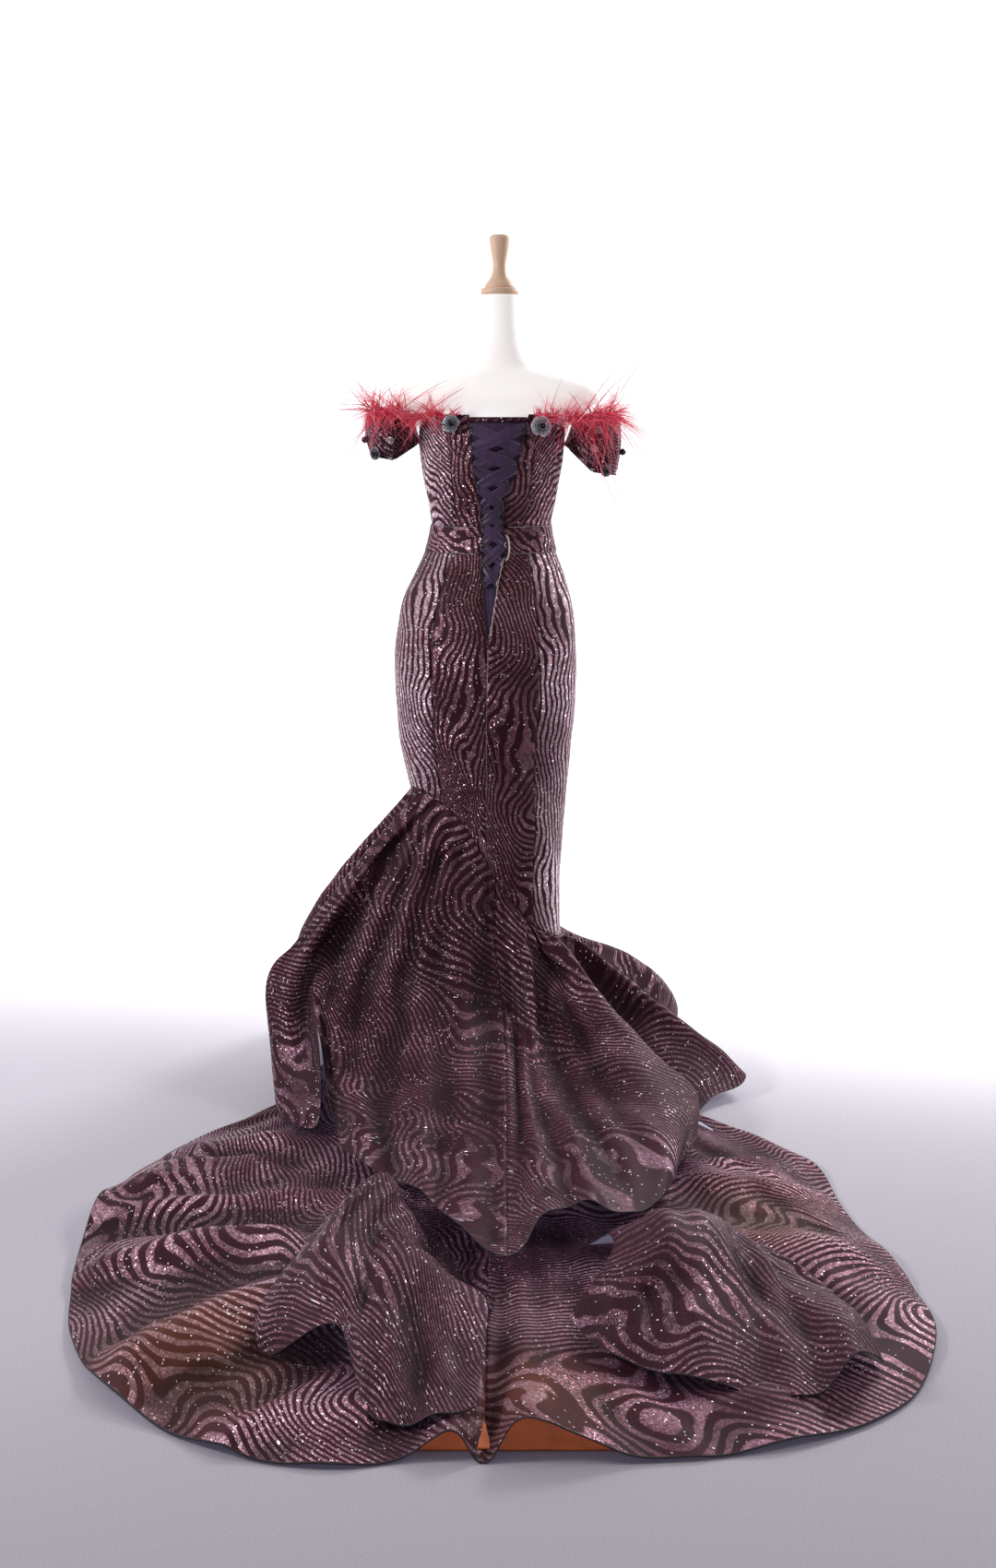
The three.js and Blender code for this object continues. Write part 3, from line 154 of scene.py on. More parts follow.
# Upper flounce: a row per fold, points from under the knee seam to the hem
# columns: at, high, mid, low, sweep, hem
FLOUNCE = [
    (0, (8, 126, 330), (-10, 207, 172), (-16, 425, 98), (-14, 800, 76), (-14, 1045, 84)),
    (12, (55, 133, 390), (72, 222, 205), (74, 415, 98), (66, 680, 84), (84, 905, 82)),
    (22, (110, 128, 440), (160, 208, 235), (175, 400, 112), (160, 620, 90), (140, 800, 76)),
    (29, (135, 112, 500), (228, 190, 240), (262, 335, 130), (262, 500, 92), (235, 665, 58)),
    (34, (160, 100, 520), (288, 174, 265), (326, 286, 176), (318, 402, 96), (300, 522, 52)),
    (39, (190, 92, 525), (335, 142, 305), (368, 205, 240), (370, 250, 208), (362, 285, 180)),
    (46, (205, 96, 535), (362, 160, 340), (420, 232, 235), (405, 320, 110), (345, 455, 40)),
    (54, (222, 82, 540), (378, 138, 345), (468, 205, 265), (462, 248, 130), (442, 325, 22)),
    (63, (205, 52, 535), (330, 82, 350), (425, 112, 230), (440, 142, 115), (440, 185, 22)),
    (73, (195, 20, 545), (305, 32, 370), (385, 42, 230), (425, 52, 115), (440, 60, 18)),
    (86, (215, -12, 556), (335, -8, 420), (425, -30, 290), (462, -42, 150), (474, -50, 12)),
    (104, (180, -62, 530), (270, -112, 370), (350, -172, 230), (392, -202, 115), (405, -225, 8)),
    (130, (122, -118, 430), (178, -182, 290), (232, -250, 160), (265, -290, 75), (292, -330, 6)),
    (155, (58, -128, 380), (86, -186, 262), (118, -262, 142), (138, -318, 66), (156, -392, 6)),
    (180, (2, -126, 352), (2, -182, 245), (0, -262, 135), (0, -325, 62), (0, -410, 6)),
    (205, (-54, -122, 318), (-84, -176, 226), (-118, -246, 130),
     (-142, -304, 62), (-160, -382, 6)),
    (231, (-105, -104, 278), (-168, -158, 200), (-232, -222, 118),
     (-272, -262, 58), (-304, -306, 6)),
    (256, (-168, -52, 262), (-292, -80, 208), (-368, -100, 140),
     (-400, -112, 76), (-398, -120, 26)),
    (272, (-152, -8, 252), (-230, 4, 190), (-305, 20, 116), (-342, 36, 62), (-358, 56, 26)),
    (287, (-178, 40, 272), (-305, 78, 180), (-402, 128, 116), (-470, 172, 74), (-508, 208, 40)),
    (297, (-140, 56, 258), (-236, 100, 140), (-330, 176, 76), (-388, 232, 48), (-428, 288, 22)),
    (306, (-118, 84, 262), (-196, 146, 140), (-272, 248, 72), (-330, 330, 48), (-370, 420, 26)),
    (315, (-142, 112, 282), (-222, 218, 200), (-308, 322, 142), (-384, 425, 92), (-362, 560, 50)),
    (325, (-108, 118, 275), (-175, 245, 172), (-252, 420, 116), (-300, 600, 86), (-280, 790, 56)),
    (335, (-82, 111, 285), (-120, 198, 160), (-162, 398, 92), (-196, 660, 88), (-212, 880, 72)),
    (344, (-58, 124, 318), (-72, 214, 168), (-82, 428, 98), (-112, 680, 96), (-138, 885, 98)),
    (352, (-26, 127, 330), (-42, 209, 172), (-46, 426, 100), (-62, 700, 92), (-72, 940, 92)),
]

# Train: a row per fold, hem point and heights inward from the hem
# columns: at, x, y, hem, outer, inner, foot
TRAIN = [
    (-112, -330, 60, 8, 12, 18, 40),
    (-98, -372, 230, 8, 12, 16, 36),
    (-84, -410, 380, 10, 12, 16, 30),
    (-72, -478, 498, 8, 12, 14, 22),
    (-62, -556, 508, 8, 12, 14, 22),
    (-54, -596, 598, 8, 15, 14, 26),
    (-46, -606, 735, 6, 15, 14, 26),
    (-39, -630, 856, 6, 16, 14, 26),
    (-33, -655, 966, 6, 18, 14, 26),
    (-27, -668, 1116, 6, 20, 14, 26),
    (-22, -608, 1276, 6, 20, 14, 26),
    (-17, -520, 1362, 8, 18, 14, 26),
    (-13, -410, 1412, 10, 16, 14, 26),
    (-9.5, -300, 1440, 8, 16, 14, 26),
    (-6.5, -205, 1450, 8, 18, 14, 26),
    (-4.5, -130, 1450, 34, 22, 14, 26),
    (-3, -70, 1444, 52, 24, 14, 26),
    (-1.5, -22, 1440, 52, 22, 14, 26),
    (0, 20, 1452, 4, 18, 14, 26),
    (2, 62, 1438, 40, 22, 14, 26),
    (4.5, 128, 1450, 8, 20, 14, 26),
    (7.5, 215, 1464, 6, 20, 14, 26),
    (11, 320, 1450, 6, 20, 14, 26),
    (15, 418, 1408, 6, 22, 14, 26),
    (20, 508, 1345, 6, 24, 14, 26),
    (26, 584, 1268, 10, 26, 14, 26),
    (32, 648, 1140, 8, 24, 14, 26),
    (38, 678, 1010, 8, 20, 14, 26),
    (44, 694, 880, 14, 20, 14, 26),
    (51, 690, 752, 46, 30, 14, 26),
    (57, 672, 645, 18, 18, 14, 26),
    (63, 640, 552, 10, 20, 16, 26),
    (70, 588, 470, 8, 17, 16, 26),
    (78, 520, 388, 6, 13, 14, 28),
    (88, 448, 296, 6, 10, 14, 30),
    (99, 408, 180, 8, 12, 18, 38),
    (112, 366, 40, 8, 12, 18, 40),
]

# Ridges on the train: from, to, lift, width
TRAIN_RIDGES = [
    ((330, 1085), (520, 1250), 46, 62),
    ((395, 905), (600, 940), 30, 70),
    ((450, 650), (598, 700), 32, 46),
    ((430, 490), (556, 548), 26, 42),
    ((150, 1330), (360, 1400), 16, 45),
    ((-390, 620), (-490, 640), 12, 40),
    ((-330, 1000), (-620, 900), 12, 70),
    ((-300, 1330), (-560, 1230), 10, 50),
]

# Middle ruffle, wearer's right
# columns: seam, rise, mid, low, hem
RUFFLE_RIGHT = [
    ((-405, 880, 36), (-460, 965, 50), (-510, 1065, 52), (-545, 1165, 50), (-560, 1250, 34)),
    ((-385, 860, 36), (-430, 955, 56), (-475, 1065, 60), (-505, 1190, 84), (-508, 1302, 80)),
    ((-360, 840, 34), (-395, 945, 66), (-425, 1060, 66), (-438, 1200, 64), (-452, 1330, 34)),
    ((-335, 830, 32), (-365, 940, 92), (-380, 1050, 92), (-380, 1200, 70), (-378, 1332, 30)),
    ((-300, 830, 30), (-328, 960, 122), (-334, 1070, 132), (-320, 1200, 92), (-300, 1322, 46)),
    ((-256, 850, 28), (-280, 985, 140), (-286, 1080, 152), (-262, 1180, 100), (-232, 1300, 48)),
    ((-205, 880, 28), (-228, 1000, 132), (-232, 1085, 146), (-190, 1160, 104), (-150, 1242, 48)),
    ((-150, 890, 28), (-172, 1000, 104), (-176, 1070, 122), (-150, 1120, 100), (-104, 1170, 56)),
]

# Middle ruffle, wearer's left
# columns: seam, rise, mid, low, hem
RUFFLE_LEFT = [
    ((2, 1050, 26), (6, 1110, 40), (12, 1170, 78), (18, 1260, 74), (30, 1395, 50)),
    ((50, 1010, 26), (58, 1080, 50), (66, 1150, 108), (72, 1260, 78), (76, 1408, 50)),
    ((95, 880, 26), (110, 990, 60), (126, 1105, 132), (136, 1225, 86), (140, 1395, 28)),
    ((140, 800, 26), (150, 920, 96), (190, 1090, 128), (196, 1210, 112), (184, 1372, 36)),
    ((165, 760, 26), (172, 890, 130), (232, 1070, 150), (240, 1170, 142), (230, 1265, 100)),
    ((190, 720, 26), (196, 860, 140), (250, 1040, 165), (306, 1170, 108), (332, 1236, 34)),
    ((225, 700, 30), (240, 840, 84), (296, 1010, 84), (342, 1130, 84), (362, 1195, 56)),
]

RAD = math.pi / 180
WALL = 1.6  # thickness of the drawn cloth
SEAM = 0.3  # gap between panels
SEAM_DIP, SEAM_REACH = 1.1, 4.5  # how far a seam pulls the cloth in, and over what width
PAINTED_SHADE_REACH, PAINTED_SHADE_DEPTH = 5, 5.0  # grid steps and depth at which a trough's painted shade is at its darkest
FAN_SHARE, GORE_SHARE = 0.6, 0.66  # cloth below the first is cut as gores, which fill the second
WAIST_TOP, WAIST_FOOT = 1150, 1098
OPENING_FOOT = 921
SIDE_BACK, SIDE_FRONT = 35, 125  # angles of the seams between back, side and front
FORM_CLEARANCE = 6
FORM_ROUNDING, FORM_FOOT = 826, 810
TRAIN_TUCK, TRAIN_INSET = 8, 3
WAVE_COUNT, WAVE_SCALE, FULL_TURN = 7, 2.65, 6.28
CREASE_END = 0.07  # share of a crease's curve left out at each end
PANEL_OVERLAP = 12  # how far the modesty panel passes the edges of the opening
FOLD_COLUMNS = 10  # grid columns per fold of the flounce
TRAIN_COLUMNS = 8
FLOOR_ROW, DRAPE_ROW, DRAPE_FADE = 32, 30, 12  # train rows that lie on the floor, and drape waves' start
FLOOR_GAP = 3.4
TINY = 1e-9
random = np.random.default_rng(7)


# Reading of tables

def hermite(keys, values, at):
    keys = np.asarray(keys, float)
    values = np.asarray(values, float)
    if keys[0] > keys[-1]:
        keys, values = keys[::-1], values[::-1]
    slopes = np.empty_like(values)
    slopes[1:-1] = (values[2:] - values[:-2]) / (keys[2:] - keys[:-2])
    slopes[0] = (values[1] - values[0]) / (keys[1] - keys[0])
    slopes[-1] = (values[-1] - values[-2]) / (keys[-1] - keys[-2])
    at = np.clip(np.asarray(at, float), keys[0], keys[-1])
    i = np.clip(np.searchsorted(keys, at, side="left") - 1, 0, len(keys) - 2)
    span = keys[i + 1] - keys[i]
    t = (at - keys[i]) / span
    return ((2 * t**3 - 3 * t**2 + 1) * values[i] + (t**3 - 2 * t**2 + t) * slopes[i] * span
            + (3 * t**2 - 2 * t**3) * values[i + 1] + (t**3 - t**2) * slopes[i + 1] * span)


def column(table, key, value, at):
    return hermite([row[key] for row in table], [row[value] for row in table], at)


def body_at(z):
    return [column(BODY, 0, k, z) for k in (1, 2, 3, 4)]


def wrapped(angle):
    return (np.asarray(angle, float) + 180) % 360 - 180


def body_point(angle, z, out=0.0):
    half, back, front, shift = body_at(z)
    angle = np.asarray(angle, float) * RAD
    s, c = np.sin(angle), np.cos(angle)
    depth = np.where(c > 0, back, front) + out
    return np.stack([shift + (half + out) * s, depth * c, np.zeros_like(s) + z], -1)


def angle_of_x(x, z):
    half, _, _, shift = body_at(z)
    return np.arcsin(np.clip((x - shift) / half, -1, 1)) / RAD


def opening_edge(side, z):
    k = 1 if side == "left" or z < OPENING_FOOT else 2
    return float(column(OPENING, 0, k, z))


def knee_height(angle):
    return column(KNEE, 0, 1, wrapped(angle))


def neckline_height(angle):
    return column(NECKLINE, 0, 1, np.abs(wrapped(angle)))


# Grids of points

def curve_through(points, steps, closed=False):
    points = np.asarray(points, float)
    n = len(points)
    spans = n if closed else n - 1
    out = []
    for i in range(spans):
        pick = [(i + k) % n if closed else min(max(i + k, 0), n - 1) for k in (-1, 0, 1, 2)]
        p0, p1, p2, p3 = (points[k] for k in pick)
        count = steps[i] if hasattr(steps, "__len__") else steps
        for k in range(count):
            t = k / count
            out.append(0.5 * (2 * p1 + (p2 - p0) * t + (2 * p0 - 5 * p1 + 4 * p2 - p3) * t**2
                              + (3 * p1 - p0 - 3 * p2 + p3) * t**3))
    if not closed:
        out.append(points[-1])
    return np.array(out)


def cloth_from(rows, down, across, closed=False):
    lines = np.array([curve_through(row, down) for row in rows])
    return curve_through(lines, across, closed).transpose(1, 0, 2)


def unit(vectors):
    return vectors / np.maximum(np.linalg.norm(vectors, axis=-1, keepdims=True), TINY)


def normals_of(grid, closed=False):
    along = np.roll(grid, -1, 1) - np.roll(grid, 1, 1) if closed else np.gradient(grid, axis=1)
    return unit(np.cross(along, np.gradient(grid, axis=0)))


def wrap(grid):
    return np.concatenate([grid, grid[:, :1]], 1)


def lengths(grid, axis):
    """Distance from the start of each row (axis 1) or column (axis 0)."""
    steps = np.linalg.norm(np.diff(grid, axis=axis), axis=2)
    return np.insert(np.cumsum(steps, axis), 0, 0, axis)


def grid_area(grid):
    a = np.cross(grid[1:, 1:] - grid[:-1, :-1], grid[1:, :-1] - grid[:-1, 1:])
    return 0.5 * np.linalg.norm(a, axis=2).sum()


def waves(points, size, seed):
    rng = np.random.default_rng(seed)
    total = np.zeros(points.shape[:-1])
    for _ in range(WAVE_COUNT):
        way = rng.normal(size=3)
        way /= np.linalg.norm(way)
        length = size * rng.uniform(0.7, 1.6)
        total += np.sin(points @ way * 2 * math.pi / length + rng.uniform(0, 2 * math.pi))
    return total / WAVE_SCALE


def from_segment(points, a, b):
    """Share of the way from a to b, and distance from that line, for each point."""
    a, b = np.array(a, float), np.array(b, float)
    share = np.clip((points - a) @ (b - a) / ((b - a) @ (b - a)), 0, 1)
    return share, np.linalg.norm(points - a - share[..., None] * (b - a), axis=-1)


def creases(grid, normals, rows):
    """Ridges and troughs laid along segments, fading at both ends: from, to, depth, width."""
    moved = np.zeros(grid.shape[:-1])
    for a, b, depth, width in rows:
        share, away = from_segment(grid, a, b)
        fade = np.sin((CREASE_END + share * (1 - 2 * CREASE_END)) * math.pi) ** 0.5
        moved += depth * fade * np.exp(-(away / width) ** 2)
    return grid + normals * moved[..., None]


def drape(grid, periods, slant, seed):
    """Even waves that run down the cloth; periods are in columns."""
    rng = np.random.default_rng(seed)
    at = np.arange(grid.shape[1])[None, :]
    depth = np.linspace(0, 1, len(grid))[:, None]
    total = 0
    for period in periods:
        lean = rng.uniform(-slant, slant)
        total = total + np.sin(2 * math.pi * at / period + rng.uniform(0, FULL_TURN) + lean * depth
                               + 0.9 * np.sin(3 * depth + rng.uniform(0, FULL_TURN)))
    return total / math.sqrt(len(periods))


def trough_shade_depths(grid, closed=False):
    """How deep each point lies in a trough, from 0 to 1, against a smoothed copy of the cloth; the sequins paint shade
    from it.
    """
    soft, size = grid, PAINTED_SHADE_REACH
    for axis in (0, 1):
        if closed and axis == 1:
            wide = np.concatenate([soft[:, -size:], soft, soft[:, :size]], 1)
        else:
            wide = np.concatenate([np.repeat(soft.take([0], axis), size, axis), soft,
                                   np.repeat(soft.take([-1], axis), size, axis)], axis)
        total = np.cumsum(np.concatenate([np.zeros_like(wide.take([0], axis)), wide], axis), axis)
        count, window = soft.shape[axis], 2 * size + 1
        soft = (total.take(range(window, window + count), axis) - total.take(range(count), axis)) / window
    return np.clip(((soft - grid) * normals_of(soft, closed)).sum(-1) / PAINTED_SHADE_DEPTH, 0, 1)


def with_hem_line(grid, share):
    """Adds a row close to the last one, where the binding starts."""
    return np.concatenate([grid[:-1], (grid[-1] + (grid[-2] - grid[-1]) * share)[None], grid[-1:]])


# Mesh making

def add_mesh(name, points, faces, materials, index=None, uvs=None, shade=None, nodes=()):
    mesh = bpy.data.meshes.new(name)
    mesh.from_pydata((np.asarray(points) / 1000).tolist(), [], [list(map(int, f)) for f in faces])
    for material in materials:
        mesh.materials.append(material)
    if index is not None:
        mesh.polygons.foreach_set("material_index", np.asarray(index, np.int32))
    if uvs is not None:
        layer = mesh.uv_layers.new(name="UVMap")
        corners = np.empty(len(mesh.loops), np.int32)
        mesh.loops.foreach_get("vertex_index", corners)
        layer.data.foreach_set("uv", np.asarray(uvs, np.float32)[corners].ravel())
    # trough depths, which the sequin material turns into painted shade
    if shade is not None:
        values = mesh.attributes.new("painted_shade_depth", "FLOAT", "POINT").data
        values.foreach_set("value", np.asarray(shade, np.float32))
    mesh.shade_smooth()
    mesh.update()
    thing = bpy.data.objects.new(name, mesh)
    bpy.context.scene.collection.objects.link(thing)
    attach(thing, "root")
    if nodes:
        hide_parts(*nodes)
    return thing


def wall_faces(rows, cols, closed=False):
    """Faces of a thin closed wall: outer side, inner side and rims, as materials 0, 1 and 2."""
    idx = np.arange(rows * cols).reshape(rows, cols)
    if closed:
        idx = wrap(idx)
    a, b, c, d = idx[:-1, :-1], idx[:-1, 1:], idx[1:, 1:], idx[1:, :-1]
    inner = rows * cols
    outer = np.stack([a, b, c, d], -1).reshape(-1, 4)
    under = np.stack([a, d, c, b], -1).reshape(-1, 4) + inner
    edges = [(idx[0, 1:], idx[0, :-1]), (idx[-1, :-1], idx[-1, 1:])]
    if not closed:
        edges += [(idx[:-1, 0], idx[1:, 0]), (idx[1:, -1], idx[:-1, -1])]
    rims = np.concatenate([np.stack([p, q, q + inner, p + inner], -1) for p, q in edges])
    index = [0] * len(outer) + [1] * len(under) + [2] * len(rims)
    return np.concatenate([outer, under, rims]), index


def add_cloth(node, grid, normals, materials, closed=False,
              thickness=WALL, seams=True, offset=(0, 0), binding=0):
    """Thin wall over a grid of outer points, with UVs in metres along the cloth.

    Materials are those of the outer side, inner side and rims; binding counts hem rows in the last one.
    """
    grid = grid.copy()
    along = lengths(grid, 1)
    if seams and not closed:
        edge = np.minimum(along, along[:, -1:] - along)
        grid -= normals * (SEAM_DIP * np.exp(-((edge / SEAM_REACH) ** 2)))[..., None]
        grid[:, 0] += unit(grid[:, 1] - grid[:, 0]) * SEAM
        grid[:, -1] += unit(grid[:, -2] - grid[:, -1]) * SEAM
    inner = grid - normals * thickness
    rows, cols = grid.shape[:2]
    faces, index = wall_faces(rows, cols, closed)
    middle = along[:, cols // 2][:, None]
    uv = np.stack([along - middle + offset[0], lengths(grid, 0) + offset[1]], -1).reshape(-1, 2) / 1000
    wide = cols if closed else cols - 1
    for k in range((rows - 1 - binding) * wide, (rows - 1) * wide):
        index[k] = 2
    # painted shade: depth in a trough, which darkens the sequins there
    dip = trough_shade_depths(grid, closed).ravel()
    thing = add_mesh(f"{node}_cloth", np.concatenate([grid, inner]).reshape(-1, 3), faces, materials, index,
                     np.concatenate([uv, uv]), np.concatenate([dip, dip]), [node])
    middle_grid = (grid + inner) / 2
    if closed:
        middle_grid = wrap(middle_grid)
    area = grid_area(middle_grid) / 1e6
    width = lengths(middle_grid, 1)[:, -1].max() / 1000
    length = lengths(middle_grid, 0)[-1].max() / 1000
    # a fan is cut as gores laid head to tail
    if area < FAN_SHARE * width * length:
        width = area / (GORE_SHARE * length)


# Materials

def linear(code):
    values = [int(code[k:k + 2], 16) / 255 for k in (0, 2, 4)]
    return tuple(v / 12.92 if v <= 0.04045 else ((v + 0.055) / 1.055) ** 2.4 for v in values)


class Nodes:
    """Short calls for the nodes of one tree; most return an output socket."""

    def __init__(self, tree):
        self.tree = tree
        place = self.make("TexCoord").outputs
        self.uv, self.object, self.generated = place["UV"], place["Object"], place["Generated"]

    def put(self, socket, value):
        """Links an output, or sets a number, a vector or a colour by its code."""
        if isinstance(value, bpy.types.NodeSocket):
            self.tree.links.new(value, socket)
        else:
            socket.default_value = (*linear(value), 1) if isinstance(value, str) else value

    def make(self, kind, *inputs, **settings):
        made = self.tree.nodes.new("ShaderNode" + kind)
        for key, value in settings.items():
            if key in made.inputs.keys():
                self.put(made.inputs[key], value)
            else:
                setattr(made, key, value)
        for socket, value in zip(made.inputs, inputs):
            self.put(socket, value)
        return made

    def math(self, operation, *values, clamp=False):
        return self.make("Math", *values, operation=operation, use_clamp=clamp).outputs[0]

    def sum(self, a, b, clamp=False):
        return self.math("ADD", a, b, clamp=clamp)

    def times(self, a, b, clamp=False):
        return self.math("MULTIPLY", a, b, clamp=clamp)

    def scaled(self, value, factor, shift, clamp=False):
        return self.sum(self.times(value, factor), shift, clamp)

    def past(self, value, start, factor, clamp=True):
        """How far the value is past the start, times the factor."""
        return self.times(self.math("SUBTRACT", value, start), factor, clamp)

    def vector(self, operation, *values, **settings):
        made = self.make("VectorMath", *values, operation=operation, **settings)
        return made.outputs["Value" if operation in ("DOT_PRODUCT", "LENGTH") else "Vector"]

    def centred(self, color, amount):
        return self.vector("SCALE", self.vector("SUBTRACT", color, (0.5, 0.5, 0.5)), Scale=amount)

    def parts(self, vector):
        return self.make("SeparateXYZ", vector).outputs

    def noise(self, vector, scale, detail, output=0):
        return self.make("TexNoise", vector, Scale=scale, Detail=detail).outputs[output]

    def ramp(self, value, *stops):
        made = self.make("ValToRGB", value)
        elements = made.color_ramp.elements
        while len(elements) < len(stops):
            elements.new(0.5)
        for element, (place, code) in zip(elements, stops):
            element.position = place
            element.color = (*linear(code), 1)
        return made.outputs["Color"]

    def mix(self, factor, a, b):
        made = self.make("Mix", data_type="RGBA")
        for k, value in ((0, factor), (6, a), (7, b)):
            self.put(made.inputs[k], value)
        return made.outputs[2]

    def shade(self, **values):
        """Sets inputs of the surface shader; an underscore stands for a space."""
        for key, value in values.items():
            self.put(self.tree.nodes["Principled BSDF"].inputs[key.replace("_", " ")], value)


def new_material(name, color, roughness=0.6, metallic=0.0):
    material = bpy.data.materials.new(name)
    material.use_nodes = True
    nodes = Nodes(material.node_tree)
    nodes.shade(Base_Color=color, Roughness=roughness, Metallic=metallic)
    return material, nodes


DARK, GROUND, BROWN, PAINTED_GLINT, PAINTED_TROUGH_SHADE = "240c15", "421b27", "5c3020", "f7eef3", "160a0f"
SEQUIN_CELLS = 520.0
PAINTED_GLINT_LIMIT = 0.9994
# columns: x, y in metres, reach
TINTED_SPOTS = ((-0.45, 0.80, 0.17), (0.43, 1.24, 0.20), (-0.05, 1.33, 0.16))
# tones of the sequins, from dark to pale, in lit and shaded copies of one sequin: painted light and shade
PAINTED_LIT_TONES = ("6a3f50", "b58a9b", "ffecf4")
PAINTED_HALF_LIT_TONES = ("562839", "926374", "e6becc")
PAINTED_DIM_TONES = ("4c232c", "80565f", "c99eab")
PAINTED_SHADED_TONES = ("351624", "684452", "bd95a6")


def sequin_material(name, turn, period, swirl, size, seed, tones=PAINTED_HALF_LIT_TONES, tinted=False, shine=1.0, fill=0.3):
    """Stripes of sequins: their direction, period in metres, bend, size of the bends and seed."""
    material, n = new_material(f"sequin_{name}", GROUND)
    moved = n.vector("ADD", n.uv, (seed * 1.37, seed * 2.11, seed))
    bent = n.uv
    for scale, detail, amount in ((size, 0.0, swirl), (size * 2.7, 0.0, swirl * 0.22), (size * 9, 1.0, 0.010)):
        bent = n.vector("ADD", bent, n.centred(n.noise(moved, scale, detail, "Color"), amount))
    way = (math.cos(turn * RAD) / period, math.sin(turn * RAD) / period, 0.0)
    wave = n.math("SINE", n.times(n.vector("DOT_PRODUCT", bent, way), 2 * math.pi))
    # the stripe is broken by single sequins and fades in patches
    broken = n.past(n.noise(moved, 95.0, 1.0), 0.36, 5.0)
    faint = n.scaled(n.noise(moved, 5.0, 1.0), 3.4, -0.95, clamp=True)
    band = n.times(n.sum(wave, fill), 1.9, clamp=True)
    band = n.times(band, n.scaled(broken, 0.45, 0.55))
    band = n.times(band, n.scaled(faint, 0.7, 0.3))
    cells = n.make("TexVoronoi", n.uv, Scale=SEQUIN_CELLS).outputs["Color"]
    chance = n.make("SeparateColor", cells).outputs
    patch = n.noise(moved, 7.0, 3.0)
    tone = n.sum(n.times(chance[0], 0.62), n.past(patch, 0.3, 1.1, clamp=False), clamp=True)
    light = n.ramp(tone, *zip((0.1, 0.5, 0.95), tones))
    under = n.ramp(n.sum(n.times(chance[1], 0.5), n.times(patch, 0.5)), (0.25, DARK), (0.75, GROUND))
    if tinted:
        glow = 0.0
        for x, y, reach in TINTED_SPOTS:
            flat = n.vector("MULTIPLY", n.vector("SUBTRACT", n.object, (x, y, 0)), (1, 1, 0))
            glow = n.math("MAXIMUM", n.past(n.vector("LENGTH", flat), reach, -6.0), glow)
        glow = n.times(glow, n.sum(patch, 0.2), clamp=True)
        under = n.mix(glow, under, BROWN)
        light = n.mix(n.times(glow, 0.6), light, "a9826f")
    color = n.mix(band, under, light)
    # painted glints: a few sequins are coloured near white as stars, more of them towards the key light
    lit = n.scaled(n.parts(n.object)[0], 6.0, 0.2, clamp=True)
    crowd = n.sum(n.past(n.noise(moved, 16.0, 2.0), 0.42, 0.05, clamp=False), n.times(lit, 0.0045))
    color = n.mix(n.math("GREATER_THAN", n.sum(chance[2], crowd), PAINTED_GLINT_LIMIT), color, PAINTED_GLINT)
    # painted shade: the sequins darken towards a deep plum where the cloth lies in a trough
    dip = n.make("Attribute", attribute_name="painted_shade_depth").outputs["Fac"]
    color = n.mix(n.times(dip, 0.66), color, PAINTED_TROUGH_SHADE)
    tilt = n.centred(cells, n.scaled(band, 0.85, 0.15))
    tilted = n.vector("NORMALIZE", n.vector("ADD", n.make("NewGeometry").outputs["Normal"], tilt))
    bump = n.make("Bump", Strength=0.6, Distance=0.0012, Height=band, Normal=tilted)
    n.shade(Base_Color=color, Metallic=n.times(band, 0.85 * shine), Specular_IOR_Level=0.12,
            Roughness=n.scaled(band, -0.32, 0.6), Normal=bump.outputs[0])
    return material


def satin_material(name, dark, pale, roughness=0.38, scale=60.0, strength=0.35, stretch=(1, 1, 1), sheen=0.25,
                   metallic=0.0, glow=None):
    """A weave between two tones; glow is a colour and its strength, a painted glow of emission that stands in for
    light.
    """
    material, n = new_material(name, dark, roughness, metallic)
    place = n.make("Mapping", n.object, Scale=stretch).outputs[0]
    weave, fine = n.noise(place, scale, 4.0), n.noise(place, scale * 22, 2.0)
    bump = n.make("Bump", Strength=strength, Distance=0.003, Height=n.sum(weave, n.times(fine, 0.08)))
    n.shade(Base_Color=n.ramp(weave, (0.3, dark), (0.72, pale)), Sheen_Weight=sheen, Normal=bump.outputs[0])
    if glow:
        n.shade(Emission_Color=glow[0], Emission_Strength=glow[1])
    return material


# the lining, the copper facing and the form cloth glow a little: painted light
LINING = satin_material("lavender_lining", "8f8ba6", "c4c1d6", 0.42, 30.0, 0.3, glow=("9b98b4", 0.3))
BINDING = satin_material("dark_binding", "150c10", "2a1a20", 0.75, 90.0, 0.4, sheen=0.02)
PURPLE = satin_material("purple_satin", "2a1733", "472b54", 0.4, 45.0, 0.5, (1, 1, 0.35))
COPPER = satin_material("copper_satin", "8a3d10", "cd6c24", 0.35, 18.0, 0.5, glow=("b5571a", 0.2))
FORM_CLOTH = satin_material("form_cloth", "ebe8e5", "f3f0ee", 0.85, 500.0, 0.06, sheen=0.1, glow=("f6f1ee", 0.34))
WOOD = satin_material("pale_wood", "c79f82", "e2c3ab", 0.5, 9.0, 0.12, (1, 1, 0.2), 0.0)
STEEL = satin_material("stand_metal", "8f8f93", "bdbdc1", 0.35, 40.0, 0.05, sheen=0.0, metallic=0.8)
PEWTER, n = new_material("rosette_pewter", "585862", 0.34, 0.35)
# painted shade and highlight: each petal darkens towards its base, under the petals around it, and pales towards its
# outer edge
fleck = n.past(n.noise(n.object, 300.0, 2.0), 0.5, 0.5, clamp=False)
n.shade(Base_Color=n.ramp(n.sum(n.times(n.parts(n.uv)[0], 78.0), fleck),
                          (0.1, "121216"), (0.55, "43434b"), (0.98, "c6c6cf")))
SILVER = satin_material("silver_bead", "a9a6ad", "e6e3ea", 0.2, 300.0, 0.2, sheen=0.0, metallic=0.75)
JET = satin_material("black_bead", "0c0b0e", "26242b", 0.18, 120.0, 0.1, sheen=0.0)
EDGING = satin_material("pale_edging", "9d8b80", "ddd0c4", 0.5, 300.0, 0.4)
